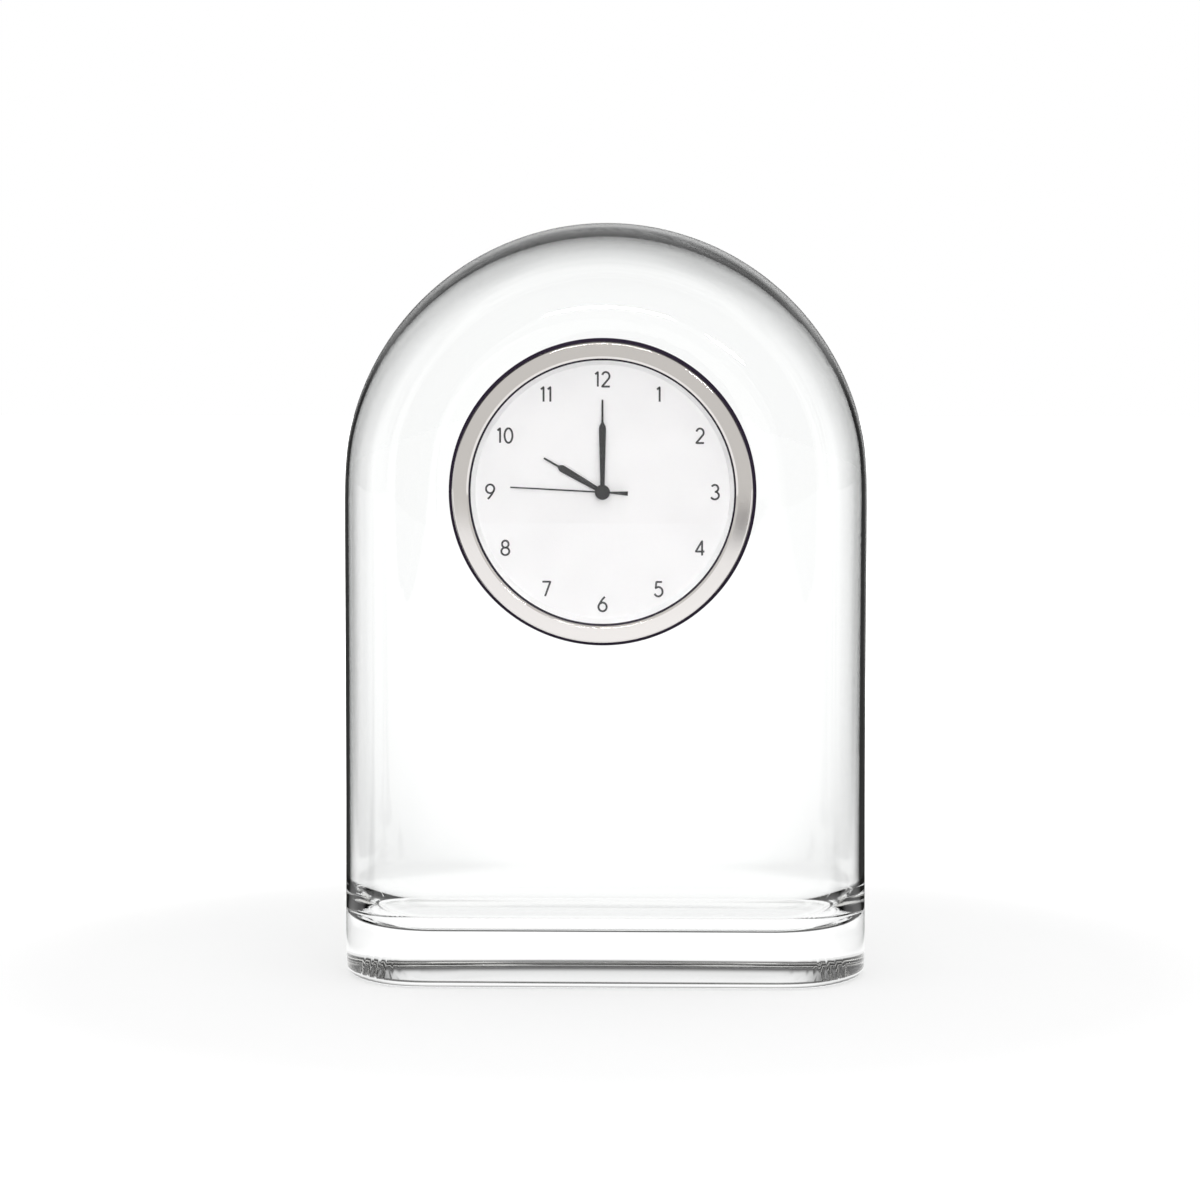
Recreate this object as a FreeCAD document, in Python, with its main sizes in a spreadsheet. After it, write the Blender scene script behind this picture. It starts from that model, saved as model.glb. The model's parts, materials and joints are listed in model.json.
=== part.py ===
import FreeCAD, Part
import math
import os
import re
import Sketcher

# Beehive shelf clock: a hollow blown-glass body with an arched top, and a round quartz insert in its front.
# Millimetres. X is to the right and Z is up as the dial is read, and the front faces -Y.
# The origin is the middle of the base. A depth is a place along Y, and grows from front to back.

V = FreeCAD.Vector
doc = FreeCAD.newDocument("beehive_clock")

# Driving sizes: lengths in mm, directions in degrees, teeth as counts, shares as plain ratios
SIZES = {
    # glass body
    "body_width": 122,
    "body_depth": 50,
    "dial_height": 114.5,
    "shoulder_radius": 16,
    "side_radius": 31,
    "glass_wall": 4.5,
    "glass_floor": 12,
    "foot_radius": 5,
    "cavity_foot_radius": 9,
    # clearances
    "running_clearance": 0.05,
    "seat_clearance": 0.02,
    "part_clearance": 0.1,
    "end_shake": 0.05,
    "overrun": 1,
    # seal ring
    "seal_radius": 35,
    "seal_flange": 0.6,
    "seal_grip": 0.6,
    "seal_rib": 0.25,
    "rib_pitch": 1.3,
    "rib_start": 0.6,
    "sleeve_length": 5.4,
    # insert case
    "barrel_radius": 31,
    "barrel_wall": 0.8,
    "dial_ledge": 1.2,
    "case_rim": 1.55,
    "case_seat": 0.4,
    "case_drop": 0.4,
    "case_wall": 1.4,
    "case_edge": 0.8,
    "boss_height": 1,
    "boss_radius": 2,
    "boss_inset": 2.5,
    # bezel and lens
    "bezel_radius": 34.2,
    "bezel_opening": 30.4,
    "bezel_lip": 0.4,
    "bezel_chamfer": 0.35,
    "bezel_bevel": 0.45,
    "bezel_bevel_drop": 0.2,
    "lens_radius": 31.9,
    "lens_thickness": 1,
    # reflector ring and dial
    "reflector_flange": 0.3,
    "reflector_top_radius": 30,
    "reflector_foot_radius": 28.9,
    "dial_thickness": 0.4,
    "dial_hole": 1.6,
    "hand_space": 2,
    # hands
    "hand_thickness": 0.12,
    "hand_rise": 0.45,
    "hand_step": 0.45,
    "tube_end": 0.08,
    "hub_radius": 1.65,
    "cap_radius": 1.72,
    "cap_height": 0.25,
    "cap_edge": 0.1,
    "hour_hand_length": 15.4,
    "hour_hand_width": 1.6,
    "minute_hand_length": 21,
    "minute_hand_width": 1.55,
    "needle_width": 0.46,
    "second_hand_length": 21,
    "second_hand_width": 0.35,
    "tail_length": 5.8,
    "tail_width": 1,
    "hour_direction": 300,
    "minute_direction": 0,
    "second_direction": 273,
    # movement plates
    "plate_gap": 2,
    "plate_thickness": 0.8,
    "motion_space": 3.2,
    "train_space": 5.9,
    "pillar_radius": 1.8,
    "pillar_inset": 3,
    "pillar_direction": 75,
    # tubes and arbors
    "seconds_arbor": 0.35,
    "tube_wall": 0.35,
    "hour_tube_wall": 0.45,
    "arbor_radius": 0.3,
    "pivot_radius": 0.2,
    "pivot_length": 0.5,
    "stud_radius": 0.6,
    "motion_hub": 1,
    "centre_hub": 1.3,
    # wheels
    "wheel_thickness": 0.4,
    "pinion_overlap": 0.2,
    "centre_wheel_gap": 0.4,
    "third_wheel_gap": 1.4,
    "seconds_wheel_gap": 0.9,
    "step_wheel_gap": 0.6,
    "hour_wheel_gap": 0.2,
    "motion_wheel_gap": 0.5,
    "passing_gap": 0.45,
    "cannon_teeth": 12,
    "motion_teeth": 36,
    "motion_pinion_teeth": 10,
    "hour_teeth": 40,
    "setting_teeth": 18,
    "seconds_teeth": 60,
    "seconds_pinion_teeth": 8,
    "third_teeth": 60,
    "third_pinion_teeth": 8,
    "centre_teeth": 64,
    "step_teeth": 60,
    "step_pinion_teeth": 10,
    "rotor_pinion_teeth": 12,
    "motion_distance": 6,
    "motion_direction": 200,
    "setting_direction": 215,
    "third_distance": 7.2,
    "third_direction": 60,
    "step_direction": 330,
    "rotor_distance": 5.4,
    "rotor_direction": 300,
    "tooth_top_share": 0.85,
    "tooth_foot_share": 1.2,
    "gap_foot_share": 0.62,
    "gap_slope_share": 0.34,
    "gap_rim_share": 1.4,
    "tip_overlap_share": 0.15,
    # setting stem and knob
    "stem_radius": 0.8,
    "stem_pivot": 0.5,
    "knob_radius": 3.2,
    "knob_height": 2.6,
    "knob_gap": 0.3,
    "knob_bore": 2,
    "knob_edge": 0.3,
    "knob_flutes": 18,
    "flute_depth": 0.3,
    # stepping motor
    "magnet_radius": 2,
    "magnet_height": 2,
    "magnet_gap": 0.5,
    "stator_thickness": 0.6,
    "stator_rim": 0.9,
    "stator_rise": 2.05,
    "coil_drop": 9.15,
    "coil_shift": 9,
    "core_length": 17,
    "core_width": 2.2,
    "winding_length": 9.8,
    "winding_radius": 2.45,
    "bobbin_radius": 1.5,
    "bobbin_flange_radius": 2.65,
    "bobbin_flange": 0.6,
    "stator_screw_inset": 1.1,
    "leg_width": 2.5,
    # screws
    "screw_radius": 0.6,
    "screw_head_radius": 1.45,
    "screw_head": 0.7,
    "screw_grip": 2.2,
    "small_screw_radius": 0.45,
    "small_screw_head_radius": 1,
    # battery, contacts and cover
    "battery_radius": 5.8,
    "battery_height": 5.4,
    "battery_cap_radius": 4.6,
    "battery_cap_height": 0.4,
    "battery_gap": 3.9,
    "battery_direction": 158,
    "battery_clearance": 0.3,
    "contact_thickness": 0.2,
    "contact_width": 3,
    "contact_foot": 1.4,
    "contact_step": 0.9,
    "cover_rim": 1.2,
    "cover_plug": 0.6,
    "coin_slot_width": 1,
    "coin_slot_length": 8,
    "coin_slot_depth": 0.5,
    # circuit board
    "board_width": 9.3,
    "board_height": 9.2,
    "board_thickness": 0.8,
    "board_rise": 0.5,
    "board_gap": 1.5,
    "board_drop": 3.4,
    "board_post_radius": 1,
    "board_post_inset": 1.8,
    "chip_radius": 1.9,
    "chip_height": 0.9,
    "crystal_radius": 1,
    "crystal_length": 6,
}

# Sizes and places that follow from the driving ones
DERIVED = {
    "case_hole": "barrel_radius - barrel_wall",
    "case_inside": "case_hole - dial_ledge",
    "plate_radius": "case_inside - plate_gap",
    "pillar_distance": "plate_radius - pillar_inset",
    "boss_distance": "plate_radius - boss_inset",
    "glass_hole": "barrel_radius + seal_grip",
    "lens_pocket": "lens_radius + running_clearance",
    "case_rim_radius": "lens_pocket + case_rim",
    "bezel_inside": "case_rim_radius + running_clearance",
    # depths of the insert, from the glass inwards and outwards
    "face": "0 - body_depth / 2",
    "seal_front": "face - seal_flange",
    "seat_front": "seal_front - case_seat",
    "lens_back": "seat_front - reflector_flange",
    "lens_front": "lens_back - lens_thickness",
    "bezel_front": "lens_front - bezel_lip",
    "case_front": "lens_front + case_drop",
    "dial_front": "lens_back + hand_space",
    "dial_back": "dial_front + dial_thickness",
    "front_plate_back": "dial_back + plate_thickness",
    "middle_plate_front": "front_plate_back + motion_space",
    "middle_plate_back": "middle_plate_front + plate_thickness",
    "back_plate_front": "middle_plate_back + train_space",
    "back_plate_back": "back_plate_front + plate_thickness",
    "case_floor": "back_plate_back + boss_height",
    "case_back": "case_floor + case_wall",
    # depths of the hands
    "hour_hand_front": "dial_front - hand_rise",
    "minute_hand_front": "hour_hand_front - hand_step",
    "second_hand_front": "minute_hand_front - hand_step",
    "cap_front": "second_hand_front - cap_height",
    # tubes on the dial's axis
    "cannon_bore": "seconds_arbor + running_clearance",
    "cannon_radius": "cannon_bore + tube_wall",
    "hour_bore": "cannon_radius + running_clearance",
    "hour_radius": "hour_bore + hour_tube_wall",
    # depths of the motion work
    "hour_wheel_front": "front_plate_back + hour_wheel_gap",
    "hour_wheel_back": "hour_wheel_front + wheel_thickness",
    "motion_wheel_front": "hour_wheel_back + motion_wheel_gap",
    "motion_wheel_back": "motion_wheel_front + wheel_thickness",
    # depths of the going train
    "centre_wheel_front": "middle_plate_back + centre_wheel_gap",
    "centre_wheel_back": "centre_wheel_front + wheel_thickness",
    "third_wheel_front": "centre_wheel_back + third_wheel_gap",
    "third_wheel_back": "third_wheel_front + wheel_thickness",
    "seconds_wheel_front": "third_wheel_back + seconds_wheel_gap",
    "seconds_wheel_back": "seconds_wheel_front + wheel_thickness",
    "step_wheel_front": "seconds_wheel_back + step_wheel_gap",
    "step_wheel_back": "step_wheel_front + wheel_thickness",
    # modules: twice the distance of two arbors over the sum of the teeth that mesh there
    "cannon_module": "2 * motion_distance / (cannon_teeth + motion_teeth)",
    "hour_module": "2 * motion_distance / (motion_pinion_teeth + hour_teeth)",
    "third_module": "2 * third_distance / (seconds_pinion_teeth + third_teeth)",
    "centre_module": "2 * third_distance / (third_pinion_teeth + centre_teeth)",
    "step_module": "2 * step_distance / (step_pinion_teeth + seconds_teeth)",
    "rotor_module": "2 * rotor_distance / (rotor_pinion_teeth + step_teeth)",
    "centre_wheel_radius": "centre_module * (centre_teeth / 2 + tooth_top_share)",
    "step_distance": "centre_wheel_radius + passing_gap + arbor_radius",
    "setting_distance": "cannon_module * (motion_teeth + setting_teeth) / 2",
    # places of the arbors, from the dial's axis
    "motion_x": "motion_distance * cos(motion_direction)",
    "motion_z": "motion_distance * sin(motion_direction)",
    "setting_x": "motion_x + setting_distance * cos(setting_direction)",
    "setting_z": "motion_z + setting_distance * sin(setting_direction)",
    "third_x": "third_distance * cos(third_direction)",
    "third_z": "third_distance * sin(third_direction)",
    "step_x": "step_distance * cos(step_direction)",
    "step_z": "step_distance * sin(step_direction)",
    "rotor_x": "step_x + rotor_distance * cos(rotor_direction)",
    "rotor_z": "step_z + rotor_distance * sin(rotor_direction)",
    # stepping motor
    "stator_front": "middle_plate_back + stator_rise",
    "stator_back": "stator_front + stator_thickness",
    "core_back": "stator_back + stator_thickness",
    "core_depth": "stator_back + stator_thickness / 2",
    "magnet_front": "stator_front + stator_thickness / 2 - magnet_height / 2",
    "magnet_back": "magnet_front + magnet_height",
    "stator_hole": "magnet_radius + magnet_gap",
    "coil_x": "rotor_x - coil_shift",
    "coil_z": "rotor_z - coil_drop",
    "core_end": "core_length / 2",
    "bobbin_end": "winding_length / 2 + bobbin_flange",
    "stator_screw_x": "core_end - stator_screw_inset",
    # battery and its cover
    "battery_distance": "centre_wheel_radius + battery_gap + battery_radius",
    "battery_x": "battery_distance * cos(battery_direction)",
    "battery_z": "battery_distance * sin(battery_direction)",
    "battery_back": "case_floor - part_clearance",
    "battery_front": "battery_back - battery_height",
    "battery_well": "battery_radius + battery_clearance",
    "cover_step": "case_floor + cover_plug",
    "cover_plug_radius": "battery_well + part_clearance",
    "cover_radius": "cover_plug_radius + cover_rim",
    "minus_front": "battery_front - contact_thickness",
    # circuit board, left of the coil and below the setting stem
    "board_right": "coil_x - core_end - board_gap",
    "board_left": "board_right - board_width",
    "board_top": "setting_z - board_drop",
    "board_foot": "board_top - board_height",
    "board_front": "middle_plate_back + board_rise",
    "board_back": "board_front + board_thickness",
    # setting stem and knob
    "knob_front": "case_back + knob_gap",
    "knob_back": "knob_front + knob_height",
    "stem_back": "knob_front + knob_bore",
}

HAND_WIDEST_SHARE = 0.68
HAND_SHOULDER_SHARE = 0.76
HAND_ROOT_SHARE = 0.58
NEEDLE_TIP_SHARE = 0.6
DROP_MIDDLE_SHARE = 0.8
DROP_TOP_SHARE = 0.4
PILLARS = 3
SEAL_RIBS = 3
HALF_A_TURN = 180


def fill_sheet():
    """Write the driving sizes into the sheet, a plain number in each named cell."""
    cells = doc.addObject("Spreadsheet::Sheet", "Sizes")
    for row, (alias, number) in enumerate(SIZES.items(), 1):
        cells.set(f"A{row}", alias.replace("_", " "))
        cells.set(f"B{row}", str(number))
        cells.setAlias(f"B{row}", alias)
    doc.recompute()
    return cells


sheet = fill_sheet()


def formula(text):
    """Turn a sum of size names into an expression on the sheet's cells."""
    def cell(found):
        word = found.group(0)
        if word in DERIVED:
            return "(" + formula(DERIVED[word]) + ")"
        return "Sizes." + word if word in SIZES else word
    return re.sub(r"[a-z_]+", cell, str(text))


def value(text):
    """The present value of a sum of size names."""
    return float(sheet.evalExpression(formula(text)))


def bind(owner, place, text):
    owner.setExpression(place, formula(text))


def new_body(name, across="0", up="dial_height", turn="0"):
    """A piece whose own origin lies on an axis parallel to the dial's, across and up from it."""
    body = doc.addObject("PartDesign::Body", name)
    body.Label = name
    body.Placement = FreeCAD.Placement(V(), FreeCAD.Rotation(V(0, 1, 0), value(turn)))
    bind(body, "Placement.Base.x", across)
    bind(body, "Placement.Base.z", up)
    return body


def attach(body, name, role, offset="0", turn=None):
    """A sketch on one of the body's own planes, moved along the plane's normal and turned about it."""
    sketch = body.newObject("Sketcher::SketchObject", name)
    plane = next(f for f in body.Origin.OriginFeatures if f.Role == role)
    sketch.AttachmentSupport = [(plane, "")]
    sketch.MapMode = "FlatFace"
    if turn is not None:
        sketch.AttachmentOffset = FreeCAD.Placement(V(), FreeCAD.Rotation(V(0, 0, 1), value(turn)))
    bind(sketch, "AttachmentOffset.Base.z", offset)
    return sketch


def face_sketch(body, name, depth, turn=None):
    """A sketch seen from the front, at a depth."""
    return attach(body, name, "XZ_Plane", f"0 - ({depth})", turn)


def pin(sketch, element, point, across, up):
    """Hold one point of a sketch at a place given by two sums of sizes."""
    for kind, text in (("DistanceX", across), ("DistanceY", up)):
        row = sketch.addConstraint(Sketcher.Constraint(kind, -1, 1, element, point, value(text)))
        bind(sketch, f"Constraints[{row}]", text)


def polygon(sketch, points):
    """A closed outline of straight lines through points given as pairs of sums of sizes."""
    spots = [V(value(across), value(up), 0) for across, up in points]
    first = sketch.GeometryCount
    count = len(points)
    for here in range(count):
        sketch.addGeometry(Part.LineSegment(spots[here], spots[(here + 1) % count]), False)
    for here in range(count):
        after = (here + 1) % count
        sketch.addConstraint(Sketcher.Constraint("Coincident", first + here, 2, first + after, 1))
    for here, (across, up) in enumerate(points):
        pin(sketch, first + here, 1, across, up)


def rectangle(sketch, left, right, low, high):
    polygon(sketch, [(left, low), (right, low), (right, high), (left, high)])


def circle(sketch, radius, across="0", up="0"):
    centre = V(value(across), value(up), 0)
    element = sketch.addGeometry(Part.Circle(centre, V(0, 0, 1), value(radius)), False)
    row = sketch.addConstraint(Sketcher.Constraint("Radius", element, value(radius)))
    bind(sketch, f"Constraints[{row}]", radius)
    pin(sketch, element, 3, across, up)


def slab(body, name, front, back, draw):
    """Add the drawn outline between two depths."""
    sketch = face_sketch(body, f"{name}_outline", back)
    draw(sketch)
    pad = body.newObject("PartDesign::Pad", name)
    pad.Profile = sketch
    bind(pad, "Length", f"({back}) - ({front})")
    return pad


def cut(body, name, front, back, draw, turn=None):
    """Remove the drawn outline between two depths."""
    sketch = face_sketch(body, f"{name}_outline", front, turn)
    draw(sketch)
    pocket = body.newObject("PartDesign::Pocket", name)
    pocket.Profile = sketch
    bind(pocket, "Length", f"({back}) - ({front})")
    return pocket


def turned(body, name, points):
    """A turned piece: an outline of depth and radius pairs, revolved about the piece's own axis."""
    sketch = attach(body, f"{name}_outline", "YZ_Plane")
    polygon(sketch, points)
    feature = body.newObject("PartDesign::Revolution", name)
    feature.Profile = sketch
    feature.ReferenceAxis = (sketch, ["H_Axis"])
    feature.Angle = 360
    return feature


def stepped(body, name, start, steps, bore="0"):
    """A turned piece of plain steps: each step has a radius and the depth where it ends."""
    points = [(start, bore)]
    depth = start
    for radius, end in steps:
        points += [(depth, radius), (end, radius)]
        depth = end
    points.append((depth, bore))
    return turned(body, name, points)


def ring_of(body, name, feature, sketch, count):
    """Repeat a feature evenly about the axis of its own sketch."""
    pattern = body.newObject("PartDesign::PolarPattern", name)
    pattern.Originals = [feature]
    pattern.Axis = (sketch, ["N_Axis"])
    pattern.Angle = 360
    bind(pattern, "Occurrences", count)
    body.Tip = pattern


def blank_radius(module, count):
    """Radius of a wheel before its teeth are cut, a little over the finished tips."""
    return f"({module}) * ({count} / 2 + gap_rim_share)"


def level(wheel):
    """The two depths of a wheel."""
    return f"{wheel}_front", f"{wheel}_back"


def pinion_level(wheel):
    """The two depths of the pinion that meshes with a wheel, a little wider than the wheel."""
    front, back = level(wheel)
    return f"{front} - pinion_overlap", f"{back} + pinion_overlap"


def teeth(body, name, module, count, span, gap_direction):
    """Cut the gaps and the flat tips of the teeth, with one gap in the given direction from the axis."""
    foot = f"({module}) * ({count} / 2 - tooth_foot_share)"
    top = f"({module}) * ({count} / 2 + tooth_top_share)"
    narrow = f"({module}) * gap_foot_share"
    wide = f"({module}) * (gap_foot_share + gap_slope_share * (tooth_foot_share + tooth_top_share))"
    half_pitch = f"(180 / {count})"
    flat = f"({top} * cos{half_pitch} + {wide} * sin{half_pitch})"
    past = f"({module}) * tip_overlap_share"
    upper = [(foot, narrow), (top, wide)]
    for reach in (flat, f"({flat} + overrun)"):
        across = f"{reach} * cos{half_pitch} - {past} * sin{half_pitch}"
        up = f"{reach} * sin{half_pitch} + {past} * cos{half_pitch}"
        upper.append((across, up))
    outline = upper + [(across, f"0 - ({up})") for across, up in reversed(upper)]
    gap = cut(body, f"{name}_gap", *span, lambda sketch: polygon(sketch, outline), gap_direction)
    ring_of(body, f"{name}_teeth", gap, gap.Profile[0], count)


def beside(direction, count):
    """A gap's direction that puts a tooth in the direction asked for."""
    return f"{direction} + 180 / {count}"


def around(count, distance, direction):
    """Places evenly spaced on a circle about the axis."""
    turns = [f"({direction} + {360 * turn / count})" for turn in range(count)]
    return [(f"{distance} * cos{turn}", f"{distance} * sin{turn}") for turn in turns]


STEM_PLACE = [("setting_x", "setting_z")]
PILLAR_PLACES = around(PILLARS, "pillar_distance", "pillar_direction")
BOSS_PLACES = around(PILLARS, "boss_distance", "pillar_direction + 60")
STATOR_SCREW_PLACES = [("coil_x - stator_screw_x", "coil_z"), ("coil_x + stator_screw_x", "coil_z")]
BOARD_POST_PLACES = [
    ("board_left + board_post_inset", "board_top - board_post_inset"),
    ("board_right - board_post_inset", "board_foot + board_post_inset"),
]


def circles(radius, places):
    """A drawing of one circle at each place."""
    def draw(sketch):
        for across, up in places:
            circle(sketch, radius, across, up)
    return draw


def half_section(body, name, level, inset):
    """Half of the level section, set in by a wall: flat faces, round shoulders and a rounder side."""
    sketch = attach(body, name, "XY_Plane", level)
    half_depth = f"body_depth / 2 - ({inset})"
    shoulder = f"shoulder_radius - ({inset})"
    side = f"side_radius - ({inset})"
    side_centre = "body_width / 2 - side_radius"
    reach = value(side) - value(shoulder)
    drop = value(half_depth) - value(shoulder)
    lean = math.asin(drop / reach)
    side_middle = V(value(side_centre), 0, 0)
    front_middle = V(side_middle.x + reach * math.cos(lean), -drop, 0)
    back_middle = V(front_middle.x, drop, 0)
    face_end = V(front_middle.x, -value(half_depth), 0)
    face_middle = V(0, -value(half_depth), 0)
    back_end = V(face_end.x, -face_end.y, 0)
    back_face_middle = V(0, -face_middle.y, 0)
    up = V(0, 0, 1)
    quarter = math.pi / 2
    front_circle = Part.Circle(front_middle, up, value(shoulder))
    side_circle = Part.Circle(side_middle, up, value(side))
    back_circle = Part.Circle(back_middle, up, value(shoulder))
    sketch.addGeometry(Part.LineSegment(face_middle, face_end), False)
    sketch.addGeometry(Part.ArcOfCircle(front_circle, -quarter, -lean), False)
    sketch.addGeometry(Part.ArcOfCircle(side_circle, -lean, lean), False)
    sketch.addGeometry(Part.ArcOfCircle(back_circle, lean, quarter), False)
    sketch.addGeometry(Part.LineSegment(back_end, back_face_middle), False)
    sketch.addGeometry(Part.LineSegment(back_face_middle, face_middle), False)
    for here in range(4):
        sketch.addConstraint(Sketcher.Constraint("Tangent", here, 2, here + 1, 1))
    sketch.addConstraint(Sketcher.Constraint("Coincident", 4, 2, 5, 1))
    sketch.addConstraint(Sketcher.Constraint("Coincident", 5, 2, 0, 1))
    sketch.addConstraint(Sketcher.Constraint("Horizontal", 0))
    sketch.addConstraint(Sketcher.Constraint("Horizontal", 4))
    for element, radius in ((1, shoulder), (2, side), (3, shoulder)):
        row = sketch.addConstraint(Sketcher.Constraint("Radius", element, value(radius)))
        bind(sketch, f"Constraints[{row}]", radius)
    pin(sketch, 2, 3, side_centre, "0")
    pin(sketch, 0, 1, "0", f"0 - ({half_depth})")
    pin(sketch, 4, 2, "0", half_depth)
    return sketch


def arched_form(name, inset, floor, edge_radius):
    """The body's form, or its hollow: a straight foot with an arch turned about the dial's axis on top."""
    body = doc.addObject("PartDesign::Body", name)
    body.Label = name
    foot = half_section(body, f"{name}_foot_section", floor, inset)
    straight = body.newObject("PartDesign::Pad", f"{name}_straight")
    straight.Profile = foot
    bind(straight, "Length", f"dial_height - ({floor})")
    mirror = body.newObject("PartDesign::Mirrored", f"{name}_both_sides")
    mirror.Originals = [straight]
    mirror.MirrorPlane = (foot, ["V_Axis"])
    body.Tip = mirror
    arch = body.newObject("PartDesign::Revolution", f"{name}_arch")
    arch.Profile = half_section(body, f"{name}_arch_section", "dial_height", inset)
    arch.ReferenceAxis = (arch.Profile[0], ["V_Axis"])
    arch.Angle = HALF_A_TURN
    arch.Reversed = True
    doc.recompute()
    level = value(floor)
    rim = [
        f"Edge{number}"
        for number, edge in enumerate(arch.Shape.Edges, 1)
        if edge.BoundBox.ZMax < level + value("seat_clearance")
    ]
    rounded = body.newObject("PartDesign::Fillet", f"{name}_rounded_foot")
    rounded.Base = (arch, rim)
    bind(rounded, "Radius", edge_radius)
    return body


def make_glass_body():
    outside = arched_form("glass_outside", "0", "0", "foot_radius")
    hollow = arched_form("glass_hollow", "glass_wall", "glass_floor", "cavity_foot_radius")
    shell = doc.addObject("Part::Cut", "glass_shell")
    shell.Base = outside
    shell.Tool = hollow
    opening = doc.addObject("Part::Cylinder", "insert_opening")
    opening.Placement = FreeCAD.Placement(V(), FreeCAD.Rotation(V(1, 0, 0), -90))
    bind(opening, "Radius", "glass_hole")
    bind(opening, "Height", "glass_wall + 2 * overrun")
    bind(opening, "Placement.Base.y", "face - overrun")
    bind(opening, "Placement.Base.z", "dial_height")
    glass = doc.addObject("Part::Cut", "glass_body")
    glass.Label = "glass_body"
    glass.Base = shell
    glass.Tool = opening
    return glass


def make_seal_ring():
    """Flange on the glass face, and a ribbed sleeve that grips the hole."""
    body = new_body("seal_ring")
    inner = "barrel_radius + seat_clearance"
    sleeve = "glass_hole - seal_rib"
    crest = "glass_hole - running_clearance"
    back = "face + sleeve_length"
    points = [
        ("seal_front", inner),
        ("seal_front", "seal_radius"),
        ("face", "seal_radius"),
        ("face", sleeve),
    ]
    for rib in range(SEAL_RIBS):
        start = f"face + rib_start + {rib} * rib_pitch"
        points.append((start, sleeve))
        points.append((f"{start} + rib_pitch / 4", crest))
        points.append((f"{start} + rib_pitch / 2", sleeve))
    points += [(back, sleeve), (back, inner)]
    turned(body, "seal", points)
    return body


def make_insert_case():
    body = new_body("insert_case")
    turned(body, "cup", [
        ("case_front", "lens_pocket"),
        ("case_front", "case_rim_radius"),
        ("seal_front", "case_rim_radius"),
        ("seal_front", "barrel_radius"),
        ("case_back - case_edge", "barrel_radius"),
        ("case_back", "barrel_radius - case_edge"),
        ("case_back", "0"),
        ("case_floor", "0"),
        ("case_floor", "case_inside"),
        ("dial_back", "case_inside"),
        ("dial_back", "case_hole"),
        ("seat_front", "case_hole"),
        ("seat_front", "lens_pocket"),
    ])
    slab(body, "bosses", "back_plate_back", "case_floor", circles("boss_radius", BOSS_PLACES))
    battery_place = [("battery_x", "battery_z")]
    way_in = "cover_plug_radius + part_clearance"
    cover_seat = "cover_radius + part_clearance"
    cut(body, "battery_way", "case_floor - overrun", "case_back + overrun", circles(way_in, battery_place))
    cut(body, "cover_seat", "cover_step", "case_back + overrun", circles(cover_seat, battery_place))
    stem_way = circles("stem_radius + running_clearance", STEM_PLACE)
    cut(body, "stem_way", "case_floor - overrun", "case_back + overrun", stem_way)
    return body


def make_bezel():
    body = new_body("bezel")
    turned(body, "ring", [
        ("seal_front", "bezel_inside"),
        ("seal_front", "bezel_radius"),
        ("bezel_front + bezel_chamfer", "bezel_radius"),
        ("bezel_front", "bezel_radius - bezel_chamfer"),
        ("bezel_front", "bezel_opening + bezel_bevel"),
        ("bezel_front + bezel_bevel_drop", "bezel_opening"),
        ("lens_front", "bezel_opening"),
        ("lens_front", "lens_pocket"),
        ("case_front", "lens_pocket"),
        ("case_front", "bezel_inside"),
    ])
    return body


def make_lens():
    body = new_body("lens")
    stepped(body, "disc", "lens_front", [("lens_radius", "lens_back")])
    return body


def make_reflector_ring():
    body = new_body("reflector_ring")
    turned(body, "cone", [
        ("lens_back", "reflector_top_radius"),
        ("lens_back", "lens_radius"),
        ("seat_front", "lens_radius"),
        ("seat_front", "case_hole - running_clearance"),
        ("dial_front", "case_hole - running_clearance"),
        ("dial_front", "reflector_foot_radius"),
    ])
    return body


def make_dial():
    body = new_body("dial")
    stepped(body, "plate", "dial_front", [("case_hole - running_clearance", "dial_back")], "dial_hole")
    return body


def blade(length, widest):
    """Outline of a leaf hand: narrow at the hub, widest past the middle, then a thin needle."""
    half = f"{widest} / 2"
    needle = "needle_width / 2"
    right = [
        ("hub_radius / 2", f"{half} * {HAND_ROOT_SHARE}"),
        (f"{length} * {HAND_WIDEST_SHARE}", half),
        (f"{length} * {HAND_SHOULDER_SHARE}", needle),
        (length, f"{needle} * {NEEDLE_TIP_SHARE}"),
    ]
    left = [(along, f"0 - {across}") for along, across in reversed(right)]
    return [(across, along) for along, across in right + left]


def make_hand(name, front, direction, outline, hole):
    """A flat hand: a blade and a round hub with the hole for its tube."""
    body = new_body(name, turn=direction)
    back = f"{front} + hand_thickness"
    slab(body, "hub", front, back, circles("hub_radius", [("0", "0")]))
    slab(body, "blade", front, back, lambda sketch: polygon(sketch, outline))
    cut(body, "hub_hole", front, back, circles(hole, [("0", "0")]))
    return body


def make_hour_hand():
    outline = blade("hour_hand_length", "hour_hand_width")
    hole = "hour_radius + seat_clearance / 2"
    return make_hand("hour_hand", "hour_hand_front", "hour_direction", outline, hole)


def make_minute_hand():
    outline = blade("minute_hand_length", "minute_hand_width")
    hole = "cannon_radius + seat_clearance / 2"
    return make_hand("minute_hand", "minute_hand_front", "minute_direction", outline, hole)


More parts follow.
